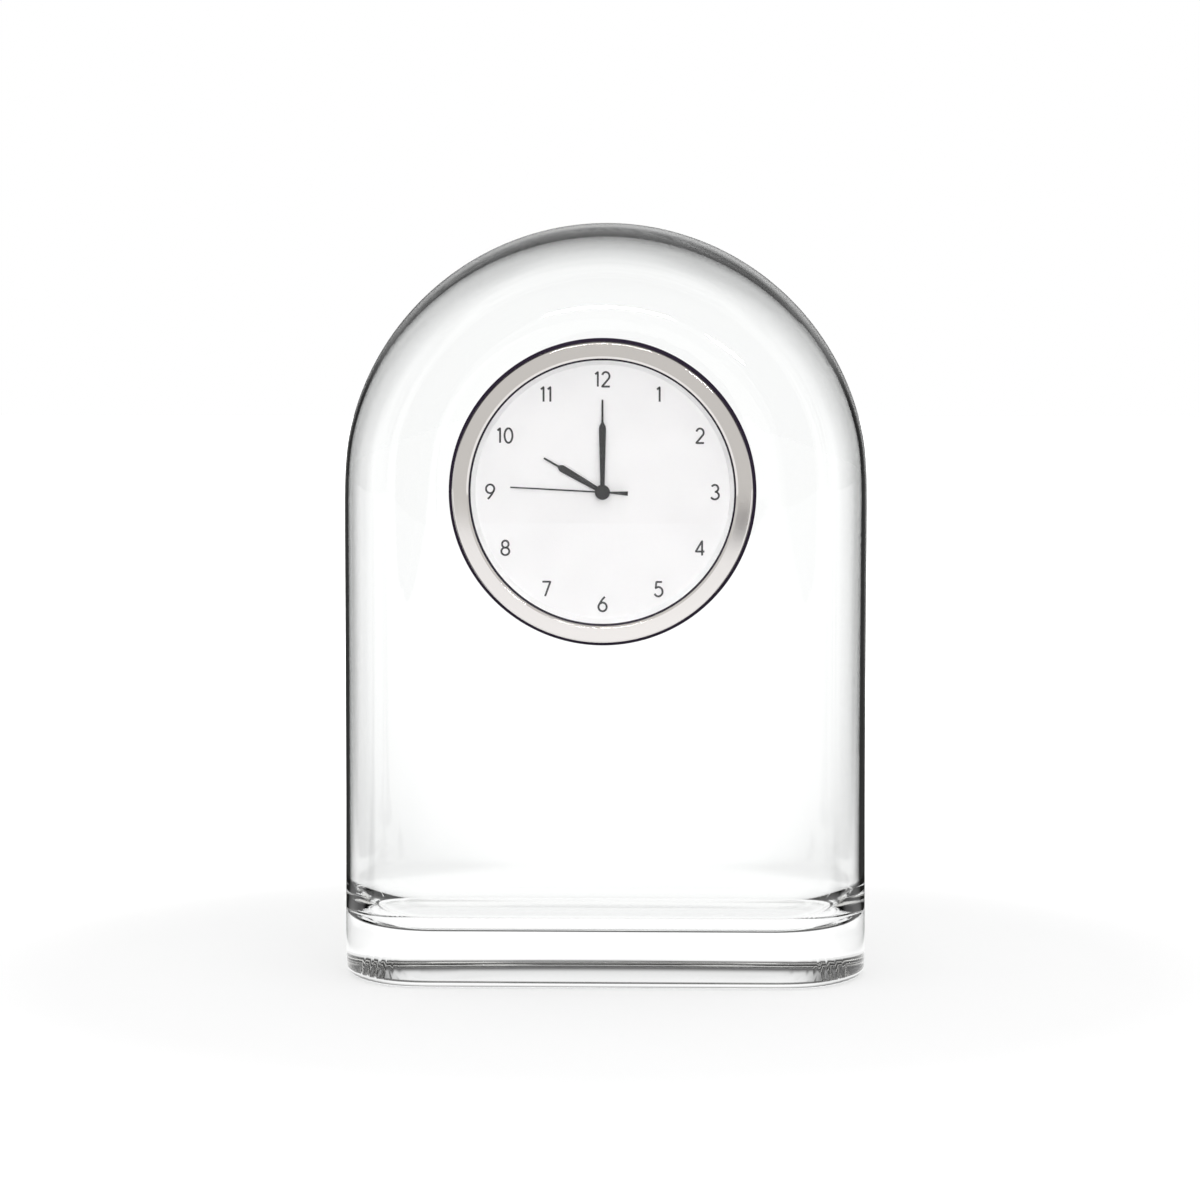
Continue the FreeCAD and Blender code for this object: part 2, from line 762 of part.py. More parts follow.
def make_second_hand():
    """A thin needle with a wider tail, and the round cap that hides the hubs."""
    body = new_body("second_hand", turn="second_direction")
    back = "second_hand_front + hand_thickness"
    turned(body, "cap", [
        ("cap_front", "0"),
        ("cap_front", "cap_radius - cap_edge"),
        ("cap_front + cap_edge", "cap_radius"),
        (back, "cap_radius"),
        (back, "0"),
    ])
    needle = "second_hand_width / 2"
    tail = "tail_width / 2"
    outline = [
        (f"0 - {tail}", "0 - tail_length"),
        (tail, "0 - tail_length"),
        (needle, "0 - hub_radius"),
        (needle, "second_hand_length"),
        (f"0 - {needle}", "second_hand_length"),
        (f"0 - {needle}", "0 - hub_radius"),
    ]
    slab(body, "needle", "second_hand_front", back, lambda sketch: polygon(sketch, outline))
    arbor_hole = circles("seconds_arbor + seat_clearance / 2", [("0", "0")])
    cut(body, "arbor_hole", "second_hand_front - cap_height / 2", back, arbor_hole)
    return body


def pivot_holes(body, name, front, back, places):
    cut(body, name, front, back, circles("pivot_radius + running_clearance", places))


def make_front_plate():
    """Plate behind the dial, with three pillars that stand on the middle plate."""
    body = new_body("front_plate")
    slab(body, "disc", "dial_back", "front_plate_back", circles("plate_radius", [("0", "0")]))
    slab(body, "pillars", "front_plate_back", "middle_plate_front", circles("pillar_radius", PILLAR_PLACES))
    hour_way = circles("hour_radius + running_clearance", [("0", "0")])
    cut(body, "hour_way", "dial_back", "front_plate_back", hour_way)
    stem_hole = circles("stem_pivot + running_clearance", STEM_PLACE)
    cut(body, "stem_hole", "front_plate_back - pivot_length - end_shake", "front_plate_back", stem_hole)
    screw_holes = circles("screw_radius + seat_clearance", PILLAR_PLACES)
    hole_end = "middle_plate_front - screw_grip - end_shake"
    cut(body, "screw_holes", hole_end, "middle_plate_front", screw_holes)
    return body


def make_middle_plate():
    """Plate between motion work and going train: carries stud, motor posts, board posts and battery pad."""
    body = new_body("middle_plate")
    slab(body, "disc", "middle_plate_front", "middle_plate_back", circles("plate_radius", [("0", "0")]))
    front = "middle_plate_front"
    back = "middle_plate_back"
    stud = circles("stud_radius", [("motion_x", "motion_z")])
    slab(body, "stud", "front_plate_back + end_shake", front, stud)
    slab(body, "motor_posts", back, "stator_front", circles("core_width / 2", STATOR_SCREW_PLACES))
    slab(body, "board_posts", back, "board_front", circles("board_post_radius", BOARD_POST_PLACES))
    pad = circles("battery_cap_radius", [("battery_x", "battery_z")])
    slab(body, "battery_pad", back, "minus_front", pad)
    cut(body, "cannon_way", front, back, circles("cannon_radius + running_clearance", [("0", "0")]))
    cut(body, "stem_way", front, back, circles("stem_radius + running_clearance", STEM_PLACE))
    cut(body, "screw_ways", front, back, circles("screw_radius + running_clearance", PILLAR_PLACES))
    motor_screws = circles("small_screw_radius + seat_clearance", STATOR_SCREW_PLACES)
    cut(body, "motor_screw_holes", front, "stator_front", motor_screws)
    arbors = [("third_x", "third_z"), ("step_x", "step_z"), ("rotor_x", "rotor_z")]
    pivot_holes(body, "pivot_holes", front, back, arbors)
    return body


def make_back_plate():
    """Rear plate with the long pillars, the rear pivots and the battery's way in."""
    body = new_body("back_plate")
    front = "back_plate_front"
    back = "back_plate_back"
    slab(body, "disc", front, back, circles("plate_radius", [("0", "0")]))
    slab(body, "pillars", "middle_plate_back", front, circles("pillar_radius", PILLAR_PLACES))
    screw_ways = circles("screw_radius + running_clearance", PILLAR_PLACES)
    cut(body, "screw_ways", "middle_plate_back", back, screw_ways)
    cut(body, "stem_way", front, back, circles("stem_radius + running_clearance", STEM_PLACE))
    cut(body, "battery_way", front, back, circles("battery_well", [("battery_x", "battery_z")]))
    arbors = [("0", "0"), ("third_x", "third_z"), ("step_x", "step_z"), ("rotor_x", "rotor_z")]
    pivot_holes(body, "pivot_holes", front, back, arbors)
    return body


def make_hour_wheel():
    """Hour tube with its wheel; a gap of the wheel stands over the motion wheel's pinion."""
    body = new_body("hour_wheel")
    rim = blank_radius("hour_module", "hour_teeth")
    stepped(body, "tube", "hour_hand_front - tube_end", [
        ("hour_radius", "hour_wheel_front"),
        (rim, "hour_wheel_back"),
        ("hour_radius", "hour_wheel_back + pinion_overlap"),
    ], "hour_bore")
    teeth(body, "hour", "hour_module", "hour_teeth", level("hour_wheel"), "motion_direction")
    return body


def make_cannon_pinion():
    """Minute tube with its pinion; one tooth points at the motion wheel."""
    body = new_body("cannon_pinion")
    span = pinion_level("motion_wheel")
    stepped(body, "tube", "minute_hand_front - tube_end", [
        ("cannon_radius", span[0]),
        (blank_radius("cannon_module", "cannon_teeth"), span[1]),
        ("cannon_radius", "centre_wheel_back + centre_wheel_gap"),
    ], "cannon_bore")
    teeth(body, "cannon", "cannon_module", "cannon_teeth", span, beside("motion_direction", "cannon_teeth"))
    return body


def make_motion_wheel():
    """Wheel driven by the cannon pinion, with the pinion that drives the hour wheel."""
    body = new_body("motion_wheel", "motion_x", "dial_height + motion_z")
    pinion_front = "hour_wheel_front - pinion_overlap / 2"
    pinion_back = "hour_wheel_back + pinion_overlap"
    stepped(body, "hub", pinion_front, [
        (blank_radius("hour_module", "motion_pinion_teeth"), pinion_back),
        ("motion_hub", "motion_wheel_front"),
        (blank_radius("cannon_module", "motion_teeth"), "motion_wheel_back"),
        ("motion_hub", "middle_plate_front - end_shake"),
    ], "stud_radius + running_clearance")
    towards = "motion_direction + 180"
    pinion_gap = beside(towards, "motion_pinion_teeth")
    teeth(body, "pinion", "hour_module", "motion_pinion_teeth", (pinion_front, pinion_back), pinion_gap)
    teeth(body, "wheel", "cannon_module", "motion_teeth", level("motion_wheel"), towards)
    return body


def make_setting_stem():
    """Stem of the setting knob; its pinion meshes with the motion wheel."""
    body = new_body("setting_stem", "setting_x", "dial_height + setting_z")
    span = pinion_level("motion_wheel")
    stepped(body, "stem", "front_plate_back - pivot_length", [
        ("stem_pivot", "front_plate_back + end_shake"),
        ("stem_radius", span[0]),
        (blank_radius("cannon_module", "setting_teeth"), span[1]),
        ("stem_radius", "stem_back"),
    ])
    # The motion wheel has a gap towards the dial's axis, and the stem's teeth follow from it.
    turned_by = "(setting_direction - motion_direction - 180) * motion_teeth / setting_teeth"
    gap = f"setting_direction + 180 + 180 / setting_teeth + {turned_by}"
    teeth(body, "setting", "cannon_module", "setting_teeth", span, gap)
    return body


def make_setting_knob():
    """Fluted knob pressed on the stem, behind the case."""
    body = new_body("setting_knob", "setting_x", "dial_height + setting_z")
    turned(body, "knob", [
        ("knob_front", "stem_radius + seat_clearance"),
        ("knob_front", "knob_radius"),
        ("knob_back - knob_edge", "knob_radius"),
        ("knob_back", "knob_radius - knob_edge"),
        ("knob_back", "0"),
        ("stem_back", "0"),
        ("stem_back", "stem_radius + seat_clearance"),
    ])
    groove = [
        ("knob_radius - flute_depth", "0"),
        ("knob_radius + flute_depth", "2 * flute_depth"),
        ("knob_radius + flute_depth", "0 - 2 * flute_depth"),
    ]
    flute = cut(body, "flute", "knob_front", "knob_back", lambda sketch: polygon(sketch, groove))
    ring_of(body, "flutes", flute, flute.Profile[0], "knob_flutes")
    return body


def make_centre_wheel():
    """Wheel that slips on the minute tube when the hands are set."""
    body = new_body("centre_wheel")
    stepped(body, "hub", "middle_plate_back + end_shake", [
        ("centre_hub", "centre_wheel_front"),
        (blank_radius("centre_module", "centre_teeth"), "centre_wheel_back"),
        ("centre_hub", "centre_wheel_back + centre_wheel_gap / 2"),
    ], "cannon_radius + running_clearance")
    teeth(body, "centre", "centre_module", "centre_teeth", level("centre_wheel"), "third_direction")
    return body


def train_arbor(body, front, steps):
    """An arbor between the middle and the back plate, with a pivot at its rear end."""
    rear = [
        ("arbor_radius", "back_plate_front - end_shake"),
        ("pivot_radius", "back_plate_front + pivot_length"),
    ]
    return stepped(body, "arbor", front, steps + rear)


FRONT_PIVOT = [("pivot_radius", "middle_plate_back + end_shake")]


def make_third_wheel():
    """Wheel driven by the seconds pinion; its own pinion drives the centre wheel."""
    body = new_body("third_wheel", "third_x", "dial_height + third_z")
    span = pinion_level("centre_wheel")
    train_arbor(body, "middle_plate_back - pivot_length", FRONT_PIVOT + [
        ("arbor_radius", span[0]),
        (blank_radius("centre_module", "third_pinion_teeth"), span[1]),
        ("arbor_radius", "third_wheel_front"),
        (blank_radius("third_module", "third_teeth"), "third_wheel_back"),
    ])
    towards = "third_direction + 180"
    pinion_gap = beside(towards, "third_pinion_teeth")
    teeth(body, "pinion", "centre_module", "third_pinion_teeth", span, pinion_gap)
    teeth(body, "wheel", "third_module", "third_teeth", level("third_wheel"), towards)
    return body


def make_seconds_wheel():
    """Long arbor of the second hand, with the seconds pinion and the seconds wheel."""
    body = new_body("seconds_wheel")
    span = pinion_level("third_wheel")
    stepped(body, "arbor", "second_hand_front - cap_height / 2", [
        ("seconds_arbor", span[0]),
        (blank_radius("third_module", "seconds_pinion_teeth"), span[1]),
        ("seconds_arbor", "seconds_wheel_front"),
        (blank_radius("step_module", "seconds_teeth"), "seconds_wheel_back"),
        ("seconds_arbor", "back_plate_front - end_shake"),
        ("pivot_radius", "back_plate_front + pivot_length"),
    ])
    pinion_gap = beside("third_direction", "seconds_pinion_teeth")
    teeth(body, "pinion", "third_module", "seconds_pinion_teeth", span, pinion_gap)
    teeth(body, "wheel", "step_module", "seconds_teeth", level("seconds_wheel"), "step_direction")
    return body


def make_step_wheel():
    """Wheel driven by the rotor; its pinion drives the seconds wheel."""
    body = new_body("step_wheel", "step_x", "dial_height + step_z")
    span = pinion_level("seconds_wheel")
    train_arbor(body, "middle_plate_back - pivot_length", FRONT_PIVOT + [
        ("arbor_radius", span[0]),
        (blank_radius("step_module", "step_pinion_teeth"), span[1]),
        ("arbor_radius", "step_wheel_front"),
        (blank_radius("rotor_module", "step_teeth"), "step_wheel_back"),
    ])
    pinion_gap = beside("step_direction + 180", "step_pinion_teeth")
    teeth(body, "pinion", "step_module", "step_pinion_teeth", span, pinion_gap)
    teeth(body, "wheel", "rotor_module", "step_teeth", level("step_wheel"), "rotor_direction")
    return body


def make_rotor_pinion():
    body = new_body("rotor_pinion", "rotor_x", "dial_height + rotor_z")
    span = pinion_level("step_wheel")
    train_arbor(body, "middle_plate_back - pivot_length", FRONT_PIVOT + [
        ("arbor_radius", span[0]),
        (blank_radius("rotor_module", "rotor_pinion_teeth"), span[1]),
    ])
    gap = beside("rotor_direction + 180", "rotor_pinion_teeth")
    teeth(body, "rotor", "rotor_module", "rotor_pinion_teeth", span, gap)
    return body


def make_rotor_magnet():
    body = new_body("rotor_magnet", "rotor_x", "dial_height + rotor_z")
    bore = "arbor_radius + seat_clearance"
    stepped(body, "magnet", "magnet_front", [("magnet_radius", "magnet_back")], bore)
    return body


def make_stator():
    """Soft iron plate round the rotor, with two legs to the ends of the coil's core."""
    body = new_body("stator")
    left = "coil_x - core_end"
    right = "coil_x + core_end"
    foot = "coil_z - core_width / 2"
    bar_foot = "rotor_z - stator_hole - stator_rim"
    bar_top = "rotor_z + stator_hole + stator_rim"
    outline = [
        (left, foot),
        (f"{left} + leg_width", foot),
        (f"{left} + leg_width", bar_foot),
        (f"{right} - leg_width", bar_foot),
        (f"{right} - leg_width", foot),
        (right, foot),
        (right, bar_foot),
        ("rotor_x + stator_hole + stator_rim", bar_foot),
        ("rotor_x + stator_hole + stator_rim", bar_top),
        (left, bar_top),
    ]
    slab(body, "plate", "stator_front", "stator_back", lambda sketch: polygon(sketch, outline))
    cut(body, "rotor_hole", "stator_front", "stator_back", circles("stator_hole", [("rotor_x", "rotor_z")]))
    screw_holes = circles("small_screw_radius + seat_clearance", STATOR_SCREW_PLACES)
    cut(body, "screw_holes", "stator_front", "stator_back", screw_holes)
    return body


def make_coil_core():
    body = new_body("coil_core")

    def outline(sketch):
        half = "core_width / 2"
        rectangle(sketch, "coil_x - core_end", "coil_x + core_end", f"coil_z - {half}", f"coil_z + {half}")
    slab(body, "strip", "stator_back", "core_back", outline)
    screw_holes = circles("small_screw_radius + seat_clearance", STATOR_SCREW_PLACES)
    cut(body, "screw_holes", "stator_back", "core_back", screw_holes)
    return body


def along_coil(name, points):
    """A piece turned about the coil's own axis: points are places along it and radii."""
    body = new_body(name, "coil_x", "dial_height + coil_z")
    bind(body, "Placement.Base.y", "core_depth")
    sketch = attach(body, f"{name}_outline", "XZ_Plane")
    polygon(sketch, points)
    feature = body.newObject("PartDesign::Revolution", f"{name}_turned")
    feature.Profile = sketch
    feature.ReferenceAxis = (sketch, ["H_Axis"])
    feature.Angle = 360
    return body


def make_coil_bobbin():
    """Spool on the core: a thin tube between two flanges, with a slot for the strip."""
    wire_end = "winding_length / 2"
    body = along_coil("coil_bobbin", [
        ("0 - bobbin_end", "0"),
        ("0 - bobbin_end", "bobbin_flange_radius"),
        (f"0 - {wire_end}", "bobbin_flange_radius"),
        (f"0 - {wire_end}", "bobbin_radius"),
        (wire_end, "bobbin_radius"),
        (wire_end, "bobbin_flange_radius"),
        ("bobbin_end", "bobbin_flange_radius"),
        ("bobbin_end", "0"),
    ])

    def slot(sketch):
        half = "(core_width / 2 + seat_clearance)"
        rectangle(sketch, "0 - bobbin_end", "bobbin_end", f"0 - {half}", half)
    half_slot = "stator_thickness / 2 + seat_clearance"
    cut(body, "core_slot", f"0 - ({half_slot})", half_slot, slot)
    return body


def make_coil_winding():
    end = "(winding_length / 2 - seat_clearance)"
    inner = "bobbin_radius + seat_clearance"
    return along_coil("coil_winding", [
        (f"0 - {end}", inner),
        (f"0 - {end}", "winding_radius"),
        (end, "winding_radius"),
        (end, inner),
    ])


def make_screws(name, places, head_front, tip, shank_radius, head_radius):
    """A group of like screws, each a head and a plain shank, driven in from the back."""
    body_parts = []
    for number, (across, up) in enumerate(places, 1):
        screw = new_body(f"{name}_{number}", across, f"dial_height + {up}")
        head_back = f"{head_front} + screw_head"
        stepped(screw, "screw", tip, [(shank_radius, head_front), (head_radius, head_back)])

        def slot(sketch):
            half = f"{shank_radius} / 3"
            rectangle(sketch, f"0 - {head_radius}", head_radius, f"0 - {half}", half)
        cut(screw, "driver_slot", f"{head_back} - screw_head / 2", head_back, slot)
        body_parts.append(screw)
    group = doc.addObject("Part::Compound", name)
    group.Label = name
    group.Links = body_parts
    return group


def make_movement_screws():
    tip = "middle_plate_front - screw_grip"
    radii = ("screw_radius", "screw_head_radius")
    return make_screws("movement_screws", PILLAR_PLACES, "back_plate_back", tip, *radii)


def make_stator_screws():
    tip = "middle_plate_front + end_shake"
    radii = ("small_screw_radius", "small_screw_head_radius")
    return make_screws("stator_screws", STATOR_SCREW_PLACES, "core_back", tip, *radii)


def make_circuit_board():
    body = new_body("circuit_board")

    def outline(sketch):
        rectangle(sketch, "board_left", "board_right", "board_foot", "board_top")
    slab(body, "board", "board_front", "board_back", outline)
    return body


def make_chip_cover():
    """Flat drop of resin over the chip."""
    across = "board_right - chip_radius - board_post_radius"
    up = "dial_height + board_top - contact_foot - battery_clearance - chip_radius"
    body = new_body("chip_cover", across, up)
    turned(body, "drop", [
        ("board_back", "0"),
        ("board_back", "chip_radius"),
        ("board_back + chip_height / 2", f"chip_radius * {DROP_MIDDLE_SHARE}"),
        ("board_back + chip_height", f"chip_radius * {DROP_TOP_SHARE}"),
        ("board_back + chip_height", "0"),
    ])
    return body


def make_crystal_can():
    """Small can of the quartz crystal, lying along the lower edge of the board."""
    can = doc.addObject("Part::Cylinder", "crystal_can")
    can.Label = "crystal_can"
    can.Placement = FreeCAD.Placement(V(), FreeCAD.Rotation(V(0, 1, 0), 90))
    bind(can, "Radius", "crystal_radius")
    bind(can, "Height", "crystal_length")
    bind(can, "Placement.Base.x", "board_left + board_post_radius")
    bind(can, "Placement.Base.y", "board_back + crystal_radius + seat_clearance")
    bind(can, "Placement.Base.z", "dial_height + board_foot + crystal_radius + board_post_radius")
    return can


def make_battery():
    body = new_body("battery", "battery_x", "dial_height + battery_z")
    stepped(body, "cell", "battery_front", [
        ("battery_cap_radius", "battery_front + battery_cap_height"),
        ("battery_radius", "battery_back"),
    ])
    return body


def make_minus_contact():
    """Leaf under the cell, stepped down to the circuit board."""
    body = new_body("minus_contact", "battery_x")
    sketch = attach(body, "leaf_outline", "YZ_Plane", "0 - contact_width / 2")
    foot_front = "board_back"
    foot_back = "board_back + contact_thickness"
    polygon(sketch, [
        ("minus_front", "battery_z"),
        ("battery_front", "battery_z"),
        ("battery_front", "board_top + contact_step"),
        (foot_back, "board_top"),
        (foot_back, "board_top - contact_foot"),
        (foot_front, "board_top - contact_foot"),
        (foot_front, "board_top - contact_thickness / 2"),
        ("minus_front", "board_top + contact_step"),
    ])
    pad = body.newObject("PartDesign::Pad", "leaf")
    pad.Profile = sketch
    bind(pad, "Length", "contact_width")
    return body


def make_plus_contact():
    """Leaf that bears on the side of the cell and stands on the circuit board."""
    body = new_body("plus_contact")
    bend = "battery_x - battery_radius"
    outline = [
        (f"{bend} - 4 * contact_thickness", "battery_z + contact_width"),
        (f"{bend} - part_clearance / 2", "battery_z"),
        (f"{bend} - 4 * contact_thickness", "battery_z - contact_width"),
        ("board_left + contact_thickness", "board_top - contact_foot"),
        ("board_left", "board_top - contact_foot"),
        (f"{bend} - 5 * contact_thickness", "battery_z - contact_width"),
        (f"{bend} - part_clearance / 2 - contact_thickness", "battery_z"),
        (f"{bend} - 5 * contact_thickness", "battery_z + contact_width"),
    ]
    back = "back_plate_front - part_clearance"
    slab(body, "leaf", "board_back", back, lambda sketch: polygon(sketch, outline))
    return body


def make_battery_cover():
    """Round cover with a coin slot, flush in the back of the case."""
    body = new_body("battery_cover", "battery_x", "dial_height + battery_z")
    stepped(body, "disc", "case_floor", [
        ("cover_plug_radius", "cover_step"),
        ("cover_radius", "case_back"),
    ])

    def slot(sketch):
        half_length = "coin_slot_length / 2"
        half_width = "coin_slot_width / 2"
        rectangle(sketch, f"0 - {half_length}", half_length, f"0 - {half_width}", half_width)
    cut(body, "coin_slot", "case_back - coin_slot_depth", "case_back", slot)
    return body


PIECES = [
    make_glass_body(),
    make_seal_ring(),
    make_insert_case(),
    make_bezel(),
    make_lens(),
    make_reflector_ring(),
    make_dial(),
    make_hour_hand(),
    make_minute_hand(),
    make_second_hand(),
    make_front_plate(),
    make_middle_plate(),
    make_back_plate(),
    make_movement_screws(),
    make_hour_wheel(),
    make_cannon_pinion(),
    make_motion_wheel(),
    make_setting_stem(),
    make_setting_knob(),
    make_centre_wheel(),
    make_third_wheel(),
    make_seconds_wheel(),
    make_step_wheel(),
    make_rotor_pinion(),
    make_rotor_magnet(),
    make_stator(),
    make_coil_core(),
    make_coil_bobbin(),
    make_coil_winding(),
    make_stator_screws(),
    make_circuit_board(),
    make_chip_cover(),
    make_crystal_can(),
    make_battery(),
    make_minus_contact(),
    make_plus_contact(),
    make_battery_cover(),
]


def write_parts():
    """Check every object, then write each piece to its own file."""
    doc.recompute()
    for item in doc.Objects:
        if "Invalid" in item.State or "Error" in item.State:
            raise RuntimeError(f"{item.Label} did not build: {item.State}")
    for piece in PIECES:
        if piece.Shape.isNull() or not piece.Shape.isValid():
            raise RuntimeError(f"{piece.Label} has no valid shape")
    os.makedirs("parts", exist_ok=True)
    for piece in PIECES:
        piece.Shape.exportStep(f"parts/{piece.Label}.step")
        print(f"{piece.Label}: {len(piece.Shape.Solids)} solid, {piece.Shape.Volume:.3f} mm3")


write_parts()
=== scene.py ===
import bmesh
import bpy
import json
import math
import numpy as np
from mathutils import Matrix, Vector


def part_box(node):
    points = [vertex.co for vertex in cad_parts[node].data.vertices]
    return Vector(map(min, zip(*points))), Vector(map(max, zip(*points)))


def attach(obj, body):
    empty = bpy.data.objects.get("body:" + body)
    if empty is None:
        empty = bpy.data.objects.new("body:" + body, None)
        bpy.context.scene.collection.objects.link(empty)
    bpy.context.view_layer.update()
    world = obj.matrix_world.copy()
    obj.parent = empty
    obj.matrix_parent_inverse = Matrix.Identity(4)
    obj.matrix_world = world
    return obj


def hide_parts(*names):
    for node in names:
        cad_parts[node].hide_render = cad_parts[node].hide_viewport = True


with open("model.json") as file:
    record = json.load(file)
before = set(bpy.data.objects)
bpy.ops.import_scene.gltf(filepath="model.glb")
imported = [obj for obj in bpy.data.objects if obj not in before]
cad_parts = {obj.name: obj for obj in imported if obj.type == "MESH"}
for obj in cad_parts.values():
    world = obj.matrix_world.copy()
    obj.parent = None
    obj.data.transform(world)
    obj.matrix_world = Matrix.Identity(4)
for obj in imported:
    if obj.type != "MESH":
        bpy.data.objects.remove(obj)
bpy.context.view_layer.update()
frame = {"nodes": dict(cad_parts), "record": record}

# Metres, unless a comment says millimetres. The dial faces -Y, Z is up, and the base stands at zero.
MM = 0.001
GLASS_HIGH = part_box("glass_body")[1]
HALF_WIDTH = GLASS_HIGH.x
HALF_DEPTH = GLASS_HIGH.y
DIAL_HEIGHT = GLASS_HIGH.z - HALF_WIDTH
DIAL_CENTRE = Vector((0, 0, DIAL_HEIGHT))
DIAL_CENTRE_ROW = np.array((0, 0, DIAL_HEIGHT))

# Glass body: a level section of flat faces, shoulder arcs and a side arc, and an arch of the same section
FLAT_HALF_WIDTH = 42 * MM
SHOULDER_RADIUS = HALF_DEPTH - 9 * MM
SHOULDER_DEPTH = HALF_DEPTH - SHOULDER_RADIUS
SIDE_RADIUS = 31 * MM
SIDE_CENTRE = HALF_WIDTH - SIDE_RADIUS
SHOULDER_LEAN = SHOULDER_DEPTH / (FLAT_HALF_WIDTH - SIDE_CENTRE)
WALL = 0.8 * MM
WALL_ADDED_TOP = 1.4 * MM
WALL_ADDED_RIGHT = 0.4 * MM
THIN_WALL_REACH = 38 * MM
FULL_WALL_REACH = 58 * MM
GLASS_FLOOR = 12 * MM
FOOT_RADIUS = 2.5 * MM
CAVITY_FOOT = 12 * MM
FOOT_POWER = 2.3
HOLE_RADIUS = 31.6 * MM
BORE_EDGE = 0.35 * MM
SOFTNESS = 4 * MM
SOFT_PLACES = 8
ARCH_START = 12 * MM
SWELL_DEPTH = 0.12 * MM
SWELL_LENGTH = 0.2
SWELL_FADE = 8 * MM

# Glass mesh: spots along the silhouette, points in each row across it, and how a row is worked out
ARCH_SPOTS = 124
LEG_SPOTS = 36
CORNER_SPOTS = 22
BASE_SPOTS = 64
OUTSIDE_POINTS = 112
HOLLOW_POINTS = 90
BORE_EDGE_POINTS = 4
PROFILE_RAYS = 400
RAY_REACH = 2.5
HALVINGS = 26
POINT_SPACING = 3 * MM
POINT_BEND = math.radians(6)
NORMAL_STEP = 0.05 * MM

# Insert, in millimetres: radii from the dial's axis, and depths from the middle of the glass
BEZEL_RADIUS = 34.2
BEZEL_MOUTH = 30.4
BEZEL_FACE = -27.7
BEZEL_BACK = -25.6
BEZEL_BREAK = 0.35
BEZEL_BEVEL_WIDTH = 0.45
BEZEL_BEVEL_DEPTH = 0.2
LENS_RADIUS = 31.9
LENS_FACE = -27.3
LENS_BACK = -26.3
LENS_CHAMFER = 0.2
# A dark ring on the lens's back, under the bezel's mouth: painted shade for the shadow in the gap there.
SHADE_RING_BORE = 29.95
SHADE_RING_FRONT = LENS_BACK - 0.02
SHADE_RING_BACK = LENS_BACK + 0.03
SLOPE_TOP = 30.0
SLOPE_FOOT = 28.9
FLANGE_RADIUS = 35.0
FLANGE_BACK = -25.0
SLEEVE_BORE = 31.02
SLEEVE_RADIUS = 31.35
SLEEVE_BACK = -19.6
SEAL_RIBS = 3
SEAL_RIB_POINTS = 7
FIRST_SEAL_RIB = -20.6
SEAL_RIB_PITCH = 1.55
SEAL_RIB_RISE = 0.2
SEAL_RIB_HALF_WIDTH = 0.35
DIAL_BORE = 1.5
DIAL_RADIUS = 30.15
DIAL_FACE = -24.3
DIAL_BACK = -23.9
TURN_STEPS = 180
MERGE_GAP = 0.0001 * MM
ROUNDING_STEPS = 4

# Numbers of the dial. The gap and the hold are shares of a number's height.
NUMBER_HEIGHT = 3.3 * MM
NUMBER_CIRCLE = 25.6 * MM
STROKE_WIDTH = 0.45 * MM
INK_DEPTH = 0.03 * MM
DIGIT_GAP = 0.17
CORNER_HOLD = 0.035

# Hands, in millimetres, and where they point, in degrees from the 12. A station is a place along a hand and
# its width there.
HOUR_FACE = -24.75
MINUTE_FACE = -25.2
SECOND_FACE = -25.65
HOUR_DIRECTION = 300
MINUTE_DIRECTION = 0
SECOND_DIRECTION = 273
HOUR_LENGTH = 15.4
HOUR_WIDTH = 1.65
MINUTE_LENGTH = 21
MINUTE_WIDTH = 1.6
SECOND_STATIONS = [(-5.8, 1.0), (-1.5, 0.42), (0, 0.36), (21, 0.33)]
HAND_THICKNESS = 0.12
HAND_RIDGE = 0.03
FULL_RIDGE_HALF_WIDTH = 0.5
HAND_ROWS = 24
HUB_RADIUS = 1.65
HUB_SINK = 0.005
HUB_POINTS = 48
CAP_OUTLINE = [
    (0, -25.9), (0.8, -25.895), (1.3, -25.875), (1.6, -25.84),
    (1.7, -25.79), (1.72, -25.7), (1.72, -25.64), (0, -25.64),
]

# Setting knob. A break or dish is how far in from the rim, and how far from the face or back, its edge lies.
KNOB_RIBS = 18
KNOB_POINTS = 288
RIB_DEPTH = 0.28 * MM
KNOB_BORE = 0.82 * MM
KNOB_BORE_DEPTH = 2 * MM
KNOB_FACE_BREAK = (0.25 * MM, 0.2 * MM)
KNOB_BACK_BREAKS = ((0.0, 0.3 * MM), (0.1 * MM, 0.1 * MM))
KNOB_FLAT_EDGES = (0.5 * MM, 0.9 * MM)
KNOB_DISH = (1.2 * MM, 0.25 * MM)

# Camera and stage
CAMERA_PLACE = Vector((0.028, -1.0, 0.174))
CAMERA_AIM = Vector((-0.0013, 0, 0.0877))
PICTURE_ANGLE = math.radians(15.9)
TABLE_FRONT = 1.6
TABLE_REACH = 3
TABLE_DROP = 0.1 * MM
TABLE_LIFT = 0.4
THROUGH_LIFT = 0.04
BLOCK_PLACE = (0.039, -1.45, 0.009)
BLOCK_SIZE = (0.018, 0.01, 0.018)
WHITE = (1.0, 1.0, 1.0)
BLACK = (0.0, 0.0, 0.0)
ROOM_GREY = (0.7, 0.7, 0.7)
GRAZING_GREY = (0.04, 0.04, 0.04)

